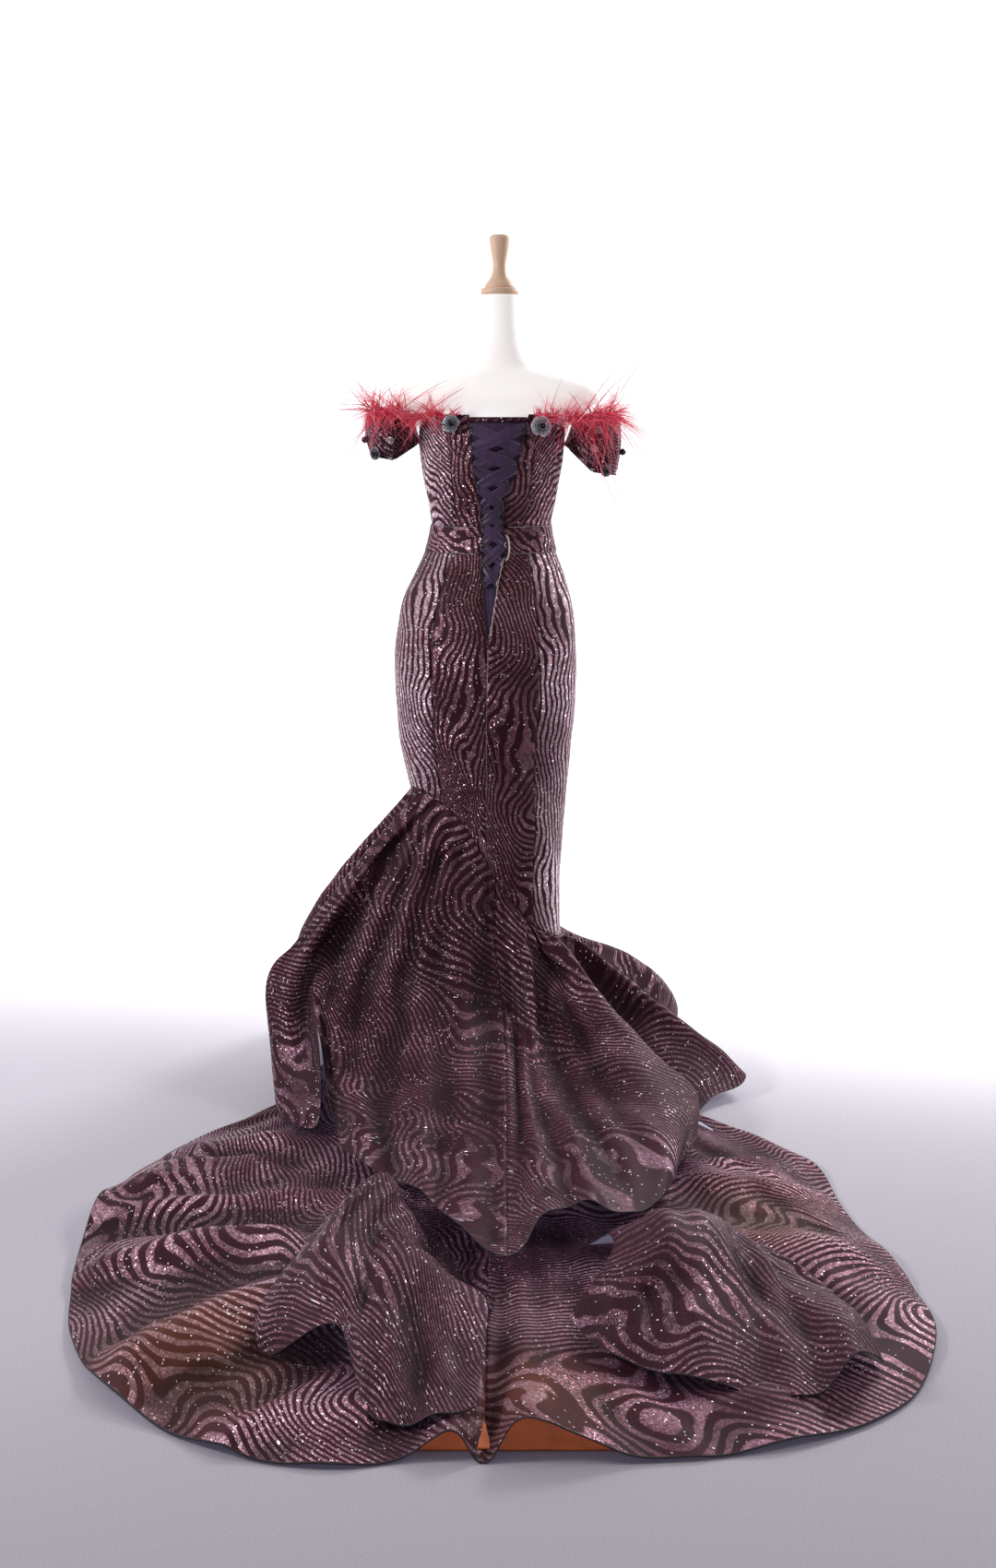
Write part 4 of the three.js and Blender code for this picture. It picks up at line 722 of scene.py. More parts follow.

# each piece takes the copy of the tones for the light it is in: painted light and shade
SEQUIN = {
    "bodice_left": sequin_material("bodice_left", 30, 0.0108, 0.18, 4.0, 1.0, PAINTED_LIT_TONES),
    "bodice_back": sequin_material("bodice_back", -14, 0.0105, 0.16, 4.5, 2.0, PAINTED_DIM_TONES),
    "bodice_right": sequin_material("bodice_right", -24, 0.0102, 0.14, 4.0, 3.0, PAINTED_HALF_LIT_TONES),
    "side": sequin_material("skirt_side", 3, 0.0106, 0.21, 3.3, 4.0, PAINTED_LIT_TONES, fill=0.38),
    "back": sequin_material("skirt_back", 10, 0.0122, 0.36, 3.4, 5.0, PAINTED_DIM_TONES, fill=0.2),
    "band": sequin_material("waistband", 50, 0.0105, 0.16, 7.0, 6.0, PAINTED_HALF_LIT_TONES),
    "flounce": sequin_material("flounce", 58, 0.0185, 0.56, 2.7, 7.0, PAINTED_SHADED_TONES, fill=0.0),
    "train": sequin_material("train", 70, 0.0175, 0.56, 2.6, 8.0, PAINTED_HALF_LIT_TONES, tinted=True, fill=0.15),
    "ruffle": sequin_material("ruffle", 62, 0.0165, 0.42, 2.8, 9.0, PAINTED_SHADED_TONES, fill=0.0),
    "sleeve": sequin_material("sleeve", 60, 0.0110, 0.20, 6.0, 10.0, PAINTED_SHADED_TONES, shine=0.6, fill=-0.1),
}
CLOTH = {key: [material, LINING, BINDING] for key, material in SEQUIN.items()}


# Dress form and stand

def turned(name, profile, x, material, nodes, cols=48):
    profile = np.asarray(profile, float)
    angle = np.linspace(0, 2 * math.pi, cols, endpoint=False)
    rings = np.stack([x + profile[:, :1] * np.sin(angle), profile[:, :1] * np.cos(angle),
                      profile[:, 1:] + 0 * angle], -1)
    add_solid(name, rings, material, nodes)


def ring_faces(rows, cols, flip=False):
    """Faces of a solid made of rings, with a cap at each end."""
    idx = np.arange(rows * cols).reshape(rows, cols)
    nxt = np.roll(idx, -1, 1)
    faces = np.stack([idx[:-1], nxt[:-1], nxt[1:], idx[1:]], -1).reshape(-1, 4).tolist()
    faces += [idx[0][::-1].tolist(), idx[-1].tolist()]
    return [face[::-1] for face in faces] if flip else faces


def add_solid(name, rings, material, nodes):
    rows, cols = rings.shape[:2]
    along = np.broadcast_to(np.linspace(0, 0.6, cols), (rows, cols))
    uv = np.stack([along, rings[..., 2] / 1000], -1).reshape(-1, 2)
    thing = add_mesh(name, rings.reshape(-1, 3), ring_faces(rows, cols), [material], None, uv, None, nodes)
    for polygon in thing.data.polygons[-2:]:
        polygon.use_smooth = False


def form_rings():
    angle = np.linspace(0, 2 * math.pi, 72, endpoint=False)
    s, c = np.sin(angle), np.cos(angle)
    sections = list(FORM)
    for z in (1277, 1241, 1194, 1148, 1098, 1054, 998, 940, 873, FORM_ROUNDING, FORM_FOOT):
        half, back, front, shift = (float(v) for v in body_at(z))
        inset = FORM_CLEARANCE + (12 if z <= FORM_ROUNDING else 0) + (14 if z <= FORM_FOOT else 0)
        sections.append((z, half - inset, back - inset, front - inset, shift, 2))
    fine = np.unique(np.concatenate([np.linspace(FORM_FOOT, FORM_ROUNDING, 4), np.linspace(FORM_ROUNDING, 1314, 60),
                                     np.linspace(1314, 1600, 70)]))[::-1]
    rings = []
    for z in fine:
        half, back, front, shift, square = (float(column(sections, 0, k, z)) for k in (1, 2, 3, 4, 5))
        x = shift + half * np.sign(s) * np.abs(s) ** (2 / square)
        y = np.where(c > 0, back, front) * np.sign(c) * np.abs(c) ** (2 / square)
        rings.append(np.stack([x, y, np.full(len(angle), z)], -1))
    return np.array(rings)


add_solid("form_padding", form_rings(), FORM_CLOTH, ["form_body"])
turned("neck_cap", [(33, 1613.7), (36, 1612), (37, 1609.7), (37, 1600.3)], -3, WOOD, ["form_neck_cap"])
FINIAL = curve_through([(15, 1714), (19.4, 1710), (20, 1706), (17, 1684), (13, 1658), (17, 1636),
                        (28, 1620), (28, 1614)], 5)
turned("finial", FINIAL, -3, WOOD, ["form_finial"])
for name in ("form_pole", "form_base"):
    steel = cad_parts[name]
    steel.data.materials.clear()
    steel.data.materials.append(STEEL)


# Bodice, waistband and skirt

PANELS = [
    ("back_left", "left", SIDE_BACK, 24),
    ("side_left", SIDE_BACK, SIDE_FRONT, 52),
    ("front", SIDE_FRONT, 360 - SIDE_FRONT, 60),
    ("side_right", 360 - SIDE_FRONT, 360 - SIDE_BACK, 52),
    ("back_right", 360 - SIDE_BACK, "right", 24),
]


def seam_angle(edge, z):
    if edge == "left":
        return float(angle_of_x(opening_edge("left", z), z))
    if edge == "right":
        return 360 + float(angle_of_x(opening_edge("right", z), z))
    return edge


def sheath_grid(upper, lower, shares):
    """Rows of points between two edges, whose heights are functions of the angle, along all panels."""
    grid = []
    for share in shares:
        line = []
        for p, (_, first, last, columns) in enumerate(PANELS):
            for j in range(1 if p else 0, columns + 1):
                t, z = j / columns, 900
                for _ in range(3):
                    angle = seam_angle(first, z) * (1 - t) + seam_angle(last, z) * t
                    z = float(upper(angle) + (lower(angle) - upper(angle)) * share)
                line.append((angle, z))
        line = np.array(line)
        grid.append(body_point(line[:, 0], line[:, 1]))
    return np.array(grid)


def fine_shares(count, edge):
    return np.concatenate([[0, edge], np.linspace(edge, 1 - edge, count)[1:-1], [1 - edge, 1]])


def add_sheath(prefix, grid, looks):
    normals = normals_of(grid)
    first = 0
    for k, ((name, _, _, columns), look) in enumerate(zip(PANELS, looks)):
        part = slice(first, first + columns + 1)
        add_cloth(f"{prefix}_{name}", grid[:, part], normals[:, part], CLOTH[look], offset=(137 * k, 211 * k))
        first += columns


BODICE_CREASES = [
    ((60, 90, 1300), (150, 30, 1230), -3.0, 11),
    ((80, 85, 1330), (165, 20, 1290), 2.2, 12),
    ((-60, 90, 1290), (-140, 30, 1225), -2.8, 11),
    ((-70, 85, 1330), (-150, 20, 1300), 2.0, 12),
    ((110, 75, 1180), (50, 85, 1162), -2.6, 7),
    ((120, 60, 1205), (60, 85, 1190), 2.2, 8),
    ((-80, 80, 1185), (-30, 88, 1166), -2.6, 7),
    ((-110, 60, 1215), (-50, 85, 1195), 2.2, 8),
    ((60, -100, 1250), (120, -60, 1180), -2.4, 9),
    ((-60, -100, 1250), (-120, -60, 1180), -2.4, 9),
]
SKIRT_CREASES = [
    ((-40, 110, 700), (-150, 40, 560), -5.0, 20),
    ((60, 110, 740), (150, 40, 650), 4.5, 20),
    ((95, 100, 760), (150, 60, 700), -4.5, 12),
    ((-60, 105, 600), (-130, 60, 430), 4.5, 18),
    ((90, 90, 700), (50, 105, 590), -5.0, 14),
    ((-20, 108, 560), (-60, 105, 430), -5.0, 13),
    ((120, 70, 690), (130, 60, 600), 4.0, 12),
    ((40, 120, 640), (20, 125, 520), 4.0, 16),
    ((-110, 80, 820), (-40, 120, 760), -2.5, 16),
    ((0, 130, 900), (10, 110, 700), -2.0, 26),
    ((60, -120, 700), (100, -90, 560), -4.0, 16),
    ((-60, -120, 660), (-100, -90, 480), -4.0, 16),
    ((0, -130, 600), (10, -125, 430), 4.0, 18),
]
bodice = sheath_grid(neckline_height, lambda a: WAIST_TOP + SEAM / 2, fine_shares(34, 0.02))
bodice = creases(bodice, normals_of(bodice), BODICE_CREASES)
bodice += normals_of(bodice) * (0.7 * waves(bodice, 70, 3))[..., None]
add_sheath("bodice", bodice, ("bodice_back", "bodice_left", "side", "bodice_right", "bodice_back"))
skirt = sheath_grid(lambda a: WAIST_FOOT - SEAM / 2, lambda a: knee_height(a) + SEAM / 2, fine_shares(96, 0.006))
skirt = creases(skirt, normals_of(skirt), SKIRT_CREASES)
skirt += normals_of(skirt) * (0.9 * waves(skirt, 110, 5))[..., None]
add_sheath("skirt", skirt, ("back", "side", "back", "side", "back"))
band = sheath_grid(lambda a: WAIST_TOP - SEAM / 2, lambda a: WAIST_FOOT + SEAM / 2, fine_shares(12, 0.05))
band_normals = normals_of(band)
swell = np.sin(np.linspace(0, math.pi, len(band)))[:, None, None]
band = band + band_normals * (1 + 0.8 * swell + 0.5 * waves(band, 40, 9)[..., None] * swell)
# the side and back panels of the sheath are joined in the waistband
for name, first, last in (("left", 0, 76), ("front", 76, 136), ("right", 136, 212)):
    part = slice(first, last + 1)
    add_cloth(f"waistband_{name}", band[:, part], band_normals[:, part], CLOTH["band"], offset=(90 * first, 0))


# Modesty panel and lacing

def panel_grid():
    rows = []
    for z in np.linspace(1361, 909, 90):
        right, left = (float(column(OPENING, 0, k, z)) for k in (2, 1))
        x = np.linspace(right - PANEL_OVERLAP, left + PANEL_OVERLAP, 40)
        folds = 0.9 * np.sin(x / 4.4 + 0.7 * np.sin(z / 34)) * min(max((1120 - z) / 120, 0.15), 1)
        row = body_point(angle_of_x(x, z), np.full(40, z))
        row[:, 1] += folds - 4.4
        rows.append(row)
    return np.array(rows)


modesty = panel_grid()
add_cloth("modesty_panel", modesty, normals_of(modesty), [PURPLE, LINING, PURPLE], thickness=1.0, seams=False)

LACING_TOP, LACING_FOOT, CROSSINGS = 1342, 1040, 8
RIBBON_HALF = 13.0


def lacing_height(i):
    return LACING_TOP + (LACING_FOOT - LACING_TOP) * i / CROSSINGS


def ribbon_turn(i, starts_left):
    z = lacing_height(i)
    left = (i % 2 == 0) == starts_left
    return opening_edge("left" if left else "right", z) + (0.5 if left else -0.5), z


def at_x(x, z, out=0.0):
    """Points on the body at the given x and z, in a grid of their shape."""
    x, z = np.broadcast_arrays(x, z)
    return body_point(angle_of_x(x.ravel(), z.ravel()), z.ravel(), out).reshape(*x.shape, 3)


def strips(grids, thickness):
    """Thin walls as parts to join."""
    parts = []
    for grid in grids:
        uv = np.stack([lengths(grid, 1), lengths(grid, 0)], -1).reshape(-1, 2) / 1000
        points = np.concatenate([grid, grid - normals_of(grid) * thickness]).reshape(-1, 3)
        parts.append((points, wall_faces(*grid.shape[:2])[0], np.concatenate([uv, uv])))
    return parts


def join(parts):
    """Points, faces and UVs of all parts as those of one mesh."""
    starts = np.cumsum([0] + [len(part[0]) for part in parts])
    faces = [[k + start for k in face] for start, part in zip(starts, parts) for face in part[1]]
    return np.concatenate([part[0] for part in parts]), faces, np.concatenate([part[2] for part in parts])


ribbons = []
for leg in range(2 * CROSSINGS):
    i = leg // 2
    (ax, az), (bx, bz) = ribbon_turn(i, leg % 2 == 0), ribbon_turn(i + 1, leg % 2 == 0)
    t = np.linspace(0, 1, 22)[None, :]
    side = np.linspace(1, -1, 9)[:, None]
    pinch = 0.78 + 0.22 * np.sin(t * math.pi)
    z = az + (bz - az) * t + side * RIBBON_HALF * pinch + 1.2 * np.sin(t * 5 + leg)
    flat = at_x(ax + (bx - ax) * t, z)
    flat[..., 1] += 0.6 + 2.6 * np.sin(t * math.pi) + (0.9 if leg % 2 else 0.0) + 0.8 * np.sin(side * 5.2 + leg)
    ribbons.append(flat[:, ::-1] if ax < bx else flat)
points, faces, uvs = join(strips(ribbons, 0.8))
add_mesh("lacing_ribbon", points, faces, [PURPLE], None, uvs, None, ["lacing"])


def tube(path, radius, sides=6):
    forward = unit(np.gradient(path, axis=0))
    across = unit(np.cross(forward, (0.13, 0.9, 0.31)))
    up = np.cross(forward, across)
    angle = np.linspace(0, 2 * math.pi, sides, endpoint=False)[None, :, None]
    rings = path[:, None] + radius * (across[:, None] * np.cos(angle) + up[:, None] * np.sin(angle))
    return rings.reshape(-1, 3), ring_faces(len(path), sides, flip=True), np.zeros((len(path) * sides, 2))


# piping and loops along the opening; the lower part on the wearer's right is pale
cords = {"upper": [], "lower": []}
for side, sign in (("left", 1), ("right", -1)):
    for part, high, low in (("upper", 1352, 1090), ("lower" if side == "right" else "upper", 1090, 935)):
        zs = np.arange(high, low, -1.5)
        xs = np.array([opening_edge(side, z) for z in zs])
        wiggle = 1.2 * np.abs(np.sin(zs / 5.9))
        cords[part].append(tube(at_x(xs - sign * (wiggle - 1.0), zs, 2.0), 0.8))
    for i in range(CROSSINGS + 1):
        z = lacing_height(i)
        a = np.linspace(-2.2, 2.2, 12)
        loop_x = opening_edge(side, z) + sign * 1.5 - sign * 5.0 * np.cos(a / 2.2 * 1.4)
        cords["lower" if i > 5 and side == "right" else "upper"].append(tube(at_x(loop_x, z + 2.4 * a, 4.6), 0.9))
turn = np.linspace(0, math.pi, 20)
cords["lower"].append(tube(at_x(-14 - 7 * np.sin(turn), 1110 + 24 * np.cos(turn), 6.5), 1.7, 8))
for part, material in (("upper", BINDING), ("lower", EDGING)):
    points, faces, _ = join(cords[part])
    add_mesh(f"lacing_edging_{part}", points, faces, [material])
x = np.linspace(opening_edge("left", 1354) + 1, opening_edge("right", 1354) - 1, 40)[None, :]
top = at_x(x, 1364 - np.linspace(0, 9, 4)[:, None])
top[..., 1] -= 1.4
points, faces, uvs = join(strips([top], 1.4))
add_mesh("panel_binding", points, faces, [SEQUIN["sleeve"]], None, uvs)


# Upper flounce

def flounce_top(angle):
    return body_point(angle, knee_height(angle) - SEAM / 2 - 1.2)


def flounce_grid():
    rows = [np.array([flounce_top(at), *points], float) for at, *points in FLOUNCE]
    grid = cloth_from(rows, (14, 14, 20, 14, 14), FOLD_COLUMNS, True)
    angles = [row[0] for row in FLOUNCE] + [360]
    fine = np.concatenate([np.linspace(a, b, FOLD_COLUMNS, endpoint=False) for a, b in zip(angles, angles[1:])])
    grid[0] = flounce_top(fine)
    return grid, fine


FLOUNCE_CREASES = [
    ((150, 110, 500), (300, 330, 150), 13, 16),
    ((118, 118, 470), (220, 420, 110), -20, 20),
    ((90, 122, 440), (150, 560, 95), 14, 22),
    ((70, 124, 420), (104, 640, 92), -13, 17),
    ((48, 126, 400), (54, 760, 88), 11, 20),
    ((205, 90, 520), (380, 210, 300), -13, 12),
    ((225, 70, 520), (420, 160, 290), 10, 12),
    ((220, 250, 200), (150, 700, 90), 12, 24),
    ((190, 250, 190), (110, 660, 92), -14, 17),
    ((250, 400, 110), (190, 700, 74), -13, 15),
    ((290, 400, 110), (255, 620, 66), 12, 14),
    ((20, 128, 330), (8, 980, 80), -12, 11),
    ((-24, 300, 130), (-44, 960, 84), 10, 17),
    ((-62, 125, 300), (-76, 860, 92), -20, 15),
    ((-84, 126, 300), (-150, 640, 100), 15, 22),
    ((-60, 124, 306), (-215, 178, 150), -22, 15),
    ((-150, 120, 210), (-330, 300, 90), -22, 18),
    ((-60, 126, 300), (-260, 300, 160), 15, 20),
    ((-90, 108, 270), (-330, 160, 150), -16, 13),
    ((-110, 100, 270), (-430, 200, 120), 12, 14),
    ((-130, 360, 120), (-220, 800, 86), -16, 18),
    ((-170, 330, 140), (-290, 640, 90), 14, 20),
    ((-110, 420, 110), (-160, 860, 90), 12, 17),
    ((60, -130, 400), (150, -330, 60), -16, 20),
    ((0, -130, 350), (10, -380, 50), 14, 22),
    ((-60, -126, 320), (-150, -320, 50), -16, 20),
    ((130, -100, 450), (340, -230, 80), 13, 20),
    ((-100, -100, 280), (-330, -180, 60), 12, 18),
]
flounce, flounce_angles = flounce_grid()
normal = normals_of(flounce, True)
depth = np.linspace(0, 1, len(flounce))[:, None]
gather = 2.2 * np.sin(flounce_angles[None, :] * 0.9 + 2 * depth) * np.exp(-((depth - 0.12) / 0.12) ** 2)
columns = flounce.shape[1]
ripple = 5.5 * drape(flounce, (columns / 11, columns / 18, columns / 27), 3.0, 12) + 1.2 * waves(flounce, 90, 13)
flounce = creases(flounce, normal, FLOUNCE_CREASES)
flounce += normal * (gather + ripple * np.clip(depth * 2.5, 0, 1))[..., None]
flounce[..., 2] = np.maximum(flounce[..., 2], 4)
flounce = with_hem_line(flounce, 0.35)
normal = wrap(normals_of(flounce, True))
flounce = wrap(flounce)
for k, (name, first, last) in enumerate((("left", 0, 12), ("front", 12, 16), ("right", 16, 27))):
    part = slice(first * FOLD_COLUMNS, last * FOLD_COLUMNS + 1)
    add_cloth(f"flounce_{name}", flounce[:, part], normal[:, part], CLOTH["flounce"],
              offset=(310 * k, 0), binding=1)


# Train

TRAIN_HEIGHTS = (1, 0.7, 0.42, 0.2)
TUBE_STEPS = (0, 1, 12, 38)
TRAIN_STEPS = (0.12, 0.35, 0.6, 0.82, 1)


def ridge_lift(points):
    return sum(height * np.exp(-(from_segment(points[..., :2], a, b)[1] / width) ** 2)
               for a, b, height, width in TRAIN_RIDGES)


def train_grid():
    rows = []
    for at, x, y, hem, outer, inner, foot in TRAIN:
        top = body_point(at, knee_height(at) + TRAIN_TUCK, -(2 + TRAIN_INSET))
        reach = math.hypot(x - top[0], y - top[1])
        tube_end = TUBE_STEPS[-1]
        steps = list(TUBE_STEPS) + [tube_end + f * (reach - tube_end) for f in TRAIN_STEPS]
        heights = [f * top[2] for f in TRAIN_HEIGHTS] + [foot, inner, inner, outer, hem]
        rows.append([(top[0] + (x - top[0]) * d / reach, top[1] + (y - top[1]) * d / reach, h)
                     for d, h in zip(steps, heights)])
    grid = cloth_from(rows, (6, 6, 6, 8, 8, 14, 14, 14), TRAIN_COLUMNS)
    lower = np.arange(len(grid)) >= FLOOR_ROW
    grid[..., 2] = np.where(lower[:, None], np.maximum(grid[..., 2], 5) + ridge_lift(grid), grid[..., 2])
    return grid


TRAIN_CREASES = [
    ((300, 700, 30), (650, 790, 30), 30, 26),
    ((330, 790, 30), (650, 870, 30), -16, 22),
    ((340, 880, 30), (660, 990, 30), 26, 24),
    ((380, 600, 30), (620, 640, 30), 22, 20),
    ((400, 660, 30), (640, 705, 30), -14, 16),
    ((330, 1085, 30), (560, 1180, 30), -18, 20),
    ((300, 1190, 30), (480, 1330, 20), -12, 20),
    ((380, 1260, 20), (560, 1150, 40), 14, 20),
    ((240, 1280, 20), (360, 1420, 20), 13, 18),
    ((120, 1300, 20), (250, 1440, 16), 10, 18),
    ((-300, 640, 20), (-560, 700, 20), 20, 24),
    ((-300, 720, 20), (-600, 850, 20), -9, 20),
    ((-330, 820, 20), (-640, 980, 20), 17, 26),
    ((-440, 900, 20), (-620, 1120, 20), 10, 24),
    ((-360, 560, 16), (-540, 600, 16), 14, 18),
    ((-250, 1350, 20), (-540, 1300, 20), 9, 20),
    ((-140, 1260, 20), (-260, 1430, 20), 10, 20),
    ((-60, 1280, 20), (-70, 1440, 50), 9, 20),
    ((60, 1290, 20), (62, 1438, 40), 7, 20),
    ((20, 1290, 20), (20, 1452, 8), -6, 12),
]
train = train_grid()
normal = normals_of(train)
train = creases(train, normal, TRAIN_CREASES)
row = np.arange(len(train))[:, None]
lower = np.clip((row - DRAPE_ROW) / DRAPE_FADE, 0, 1)
train[..., 2] += lower * (3.4 * drape(train, (31, 19, 12), 3.0, 21) + 1.2 * waves(train, 110, 22))
train[..., 2] = np.where(row >= DRAPE_ROW, np.maximum(train[..., 2], FLOOR_GAP), train[..., 2])
train = with_hem_line(train, 0.3)
normal = normals_of(train)
middle = [row[0] for row in TRAIN].index(0) * TRAIN_COLUMNS
for name, part, offset in (("train_right", slice(middle + 1), (500, 0)), ("train_left", slice(middle, None), (0, 300))):
    add_cloth(name, train[:, part], normal[:, part], CLOTH["train"], offset=offset,
              binding=1)


# Middle ruffles and facing

for name, rows, seed, lines in (
    ("ruffle_right", RUFFLE_RIGHT, 31, [
        ((-300, 900, 100), (-440, 1220, 70), -16, 16),
        ((-350, 900, 80), (-500, 1240, 60), 13, 15),
        ((-250, 930, 110), (-290, 1260, 80), 13, 15),
        ((-220, 940, 110), (-220, 1220, 90), -16, 13),
        ((-400, 900, 60), (-530, 1120, 50), -10, 14),
        ((-180, 1000, 100), (-170, 1180, 90), 10, 11),
    ]),
    ("ruffle_left", RUFFLE_LEFT, 32, [
        ((100, 900, 60), (112, 1340, 60), -16, 14),
        ((36, 1060, 50), (52, 1350, 50), -11, 11),
        ((74, 1040, 60), (80, 1380, 60), 12, 13),
        ((150, 880, 90), (150, 1340, 60), 13, 13),
        ((196, 900, 120), (196, 1260, 110), -15, 12),
        ((225, 880, 120), (320, 1180, 90), 10, 12),
    ]),
):
    grid = cloth_from(rows, 14, 14)
    normal = normals_of(grid)
    grid = creases(grid, normal, lines)
    near = np.clip(np.arange(len(grid)) / 12, 0, 1)[:, None]
    ripple = 3.4 * drape(grid, (37, 23, 15), 2.5, seed) + 1.2 * waves(grid, 70, seed + 5)
    grid += normal * (near * ripple)[..., None]
    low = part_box(name)[0][2] * 1000
    grid[..., 2] += low - (grid[..., 2].min() - WALL)
    grid = with_hem_line(grid, 0.35)
    add_cloth(name, grid, normals_of(grid), CLOTH["ruffle"],
              offset=(seed * 40, 0), binding=1, seams=False)

FACING_X, FACING_Y, FACING_Z = (-232, 152), (1303, 1424), 3.9
x, y = np.meshgrid(np.linspace(*FACING_X, 60), np.linspace(*FACING_Y, 20))
facing = np.stack([x, y, np.full_like(x, FACING_Z)], -1)
facing[..., 2] += 0.5 * waves(facing, 60, 41)
add_cloth("train_facing", facing, normals_of(facing), [COPPER] * 3, thickness=0.8,
          seams=False)


# Sleeve bands

# columns: x, half, deep, top, slope, dip, cuff, slope of the cuff, rise
SLEEVES = {
    "left": (212, 51, 57, 1374, 3, 56, 1281, 8, 38),
    "right": (-193, 52, 57, 1370, -1, 52, 1257, -7, 38),
}
for side, (x0, half, deep, top, slope, dip, cuff, cuff_slope, rise) in SLEEVES.items():
    outward = math.copysign(1, x0)
    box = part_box(f"sleeve_{side}")
    angle = np.linspace(0, 2 * math.pi, 112, endpoint=False)[None, :]
    down = np.linspace(0, 1, 26)[:, None]
    puff = hermite([0, 0.25, 0.5, 0.75, 1], [0, 5, 7, 5, 1], down)
    wave = puff * (1 + 0.18 * np.sin(5 * angle)) + 1.3 * np.sin(13 * angle + 3 * down) * np.sin(down * math.pi)
    x = (half + wave - down * 4.8) * np.sin(angle)
    y = (deep + wave - down * 8) * np.cos(angle)
    aside = np.sin(angle) * outward
    inner = np.clip((-aside - 0.62) / 0.38, 0, None)
    upper = top + slope * aside - dip * inner**1.3
    lower = cuff + cuff_slope * aside + rise * np.clip(-aside, 0, None)
    grid = np.stack([x0 + x, y, upper + (lower - upper) * down], -1)
    grid[..., 0] += ((box[0][0] + box[1][0]) * 500) - (grid[..., 0].min() + grid[..., 0].max()) / 2
    grid[-3:, :, :2] += (normals_of(grid, True)[-3:, :, :2] * np.array([0, -2.5, 1.0])[:, None, None])
    add_cloth(f"sleeve_{side}", grid, normals_of(grid, True), [SEQUIN["sleeve"], BINDING, BINDING],
              closed=True, offset=(700, 0))


def middle_of(name):
    low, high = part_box(name)
    return (np.array(low) + np.array(high)) * 500


# Feather trim

def plume_material(name, root, middle, tip):
    material, n = new_material(name, middle, 0.7)
    cloud = n.past(n.noise(n.object, 55.0, 2.0), 0.5, 0.5, clamp=False)
    color = n.ramp(n.sum(n.parts(n.uv)[1], cloud), (0.0, root), (0.45, middle), (0.95, tip))
    # painted light: the strands glow a little in their middle colour, lifting the shade they cast on each other
    n.shade(Base_Color=color, Sheen_Weight=0.4, Emission_Color=middle, Emission_Strength=0.16)
    return material


CRIMSON = plume_material("crimson_plume", "a41632", "dd304f", "f2849b")
DUSK = plume_material("dusky_plume", "8c1c2c", "b53a50", "3c1a24")
CLUMPS = 300
ROSE_NEAR, ROSE_CLEAR = 32, 15  # distances from the rosette that thin and stop the clumps
PLUME_BACK = 40  # strands stay behind this depth
# columns: spread of the lean, shortest, longest, curl, strands, sag
WISP, TUFT = (34, 1.3, 2.1, 1.1, 2, 0.6), (22, 0.55, 1.3, 0.7, 6, 0.25)
PLUME_MARGIN = 16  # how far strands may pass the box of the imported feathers
TAPER = np.array([1, 1, 0.95, 0.9, 0.8, 0.65, 0.45, 0.2])[:, None]
STRIP = {
    "left": [(82, 88, 1364), (112, 79, 1366), (138, 68, 1364), (166, 60, 1365),
             (192, 62, 1368), (214, 66, 1370), (236, 62, 1371), (252, 50, 1373)],
    "right": [(-72, 84, 1364), (-100, 75, 1365), (-122, 66, 1362), (-150, 59, 1362),
              (-172, 61, 1363), (-192, 65, 1365), (-214, 61, 1365), (-230, 49, 1366)],
}
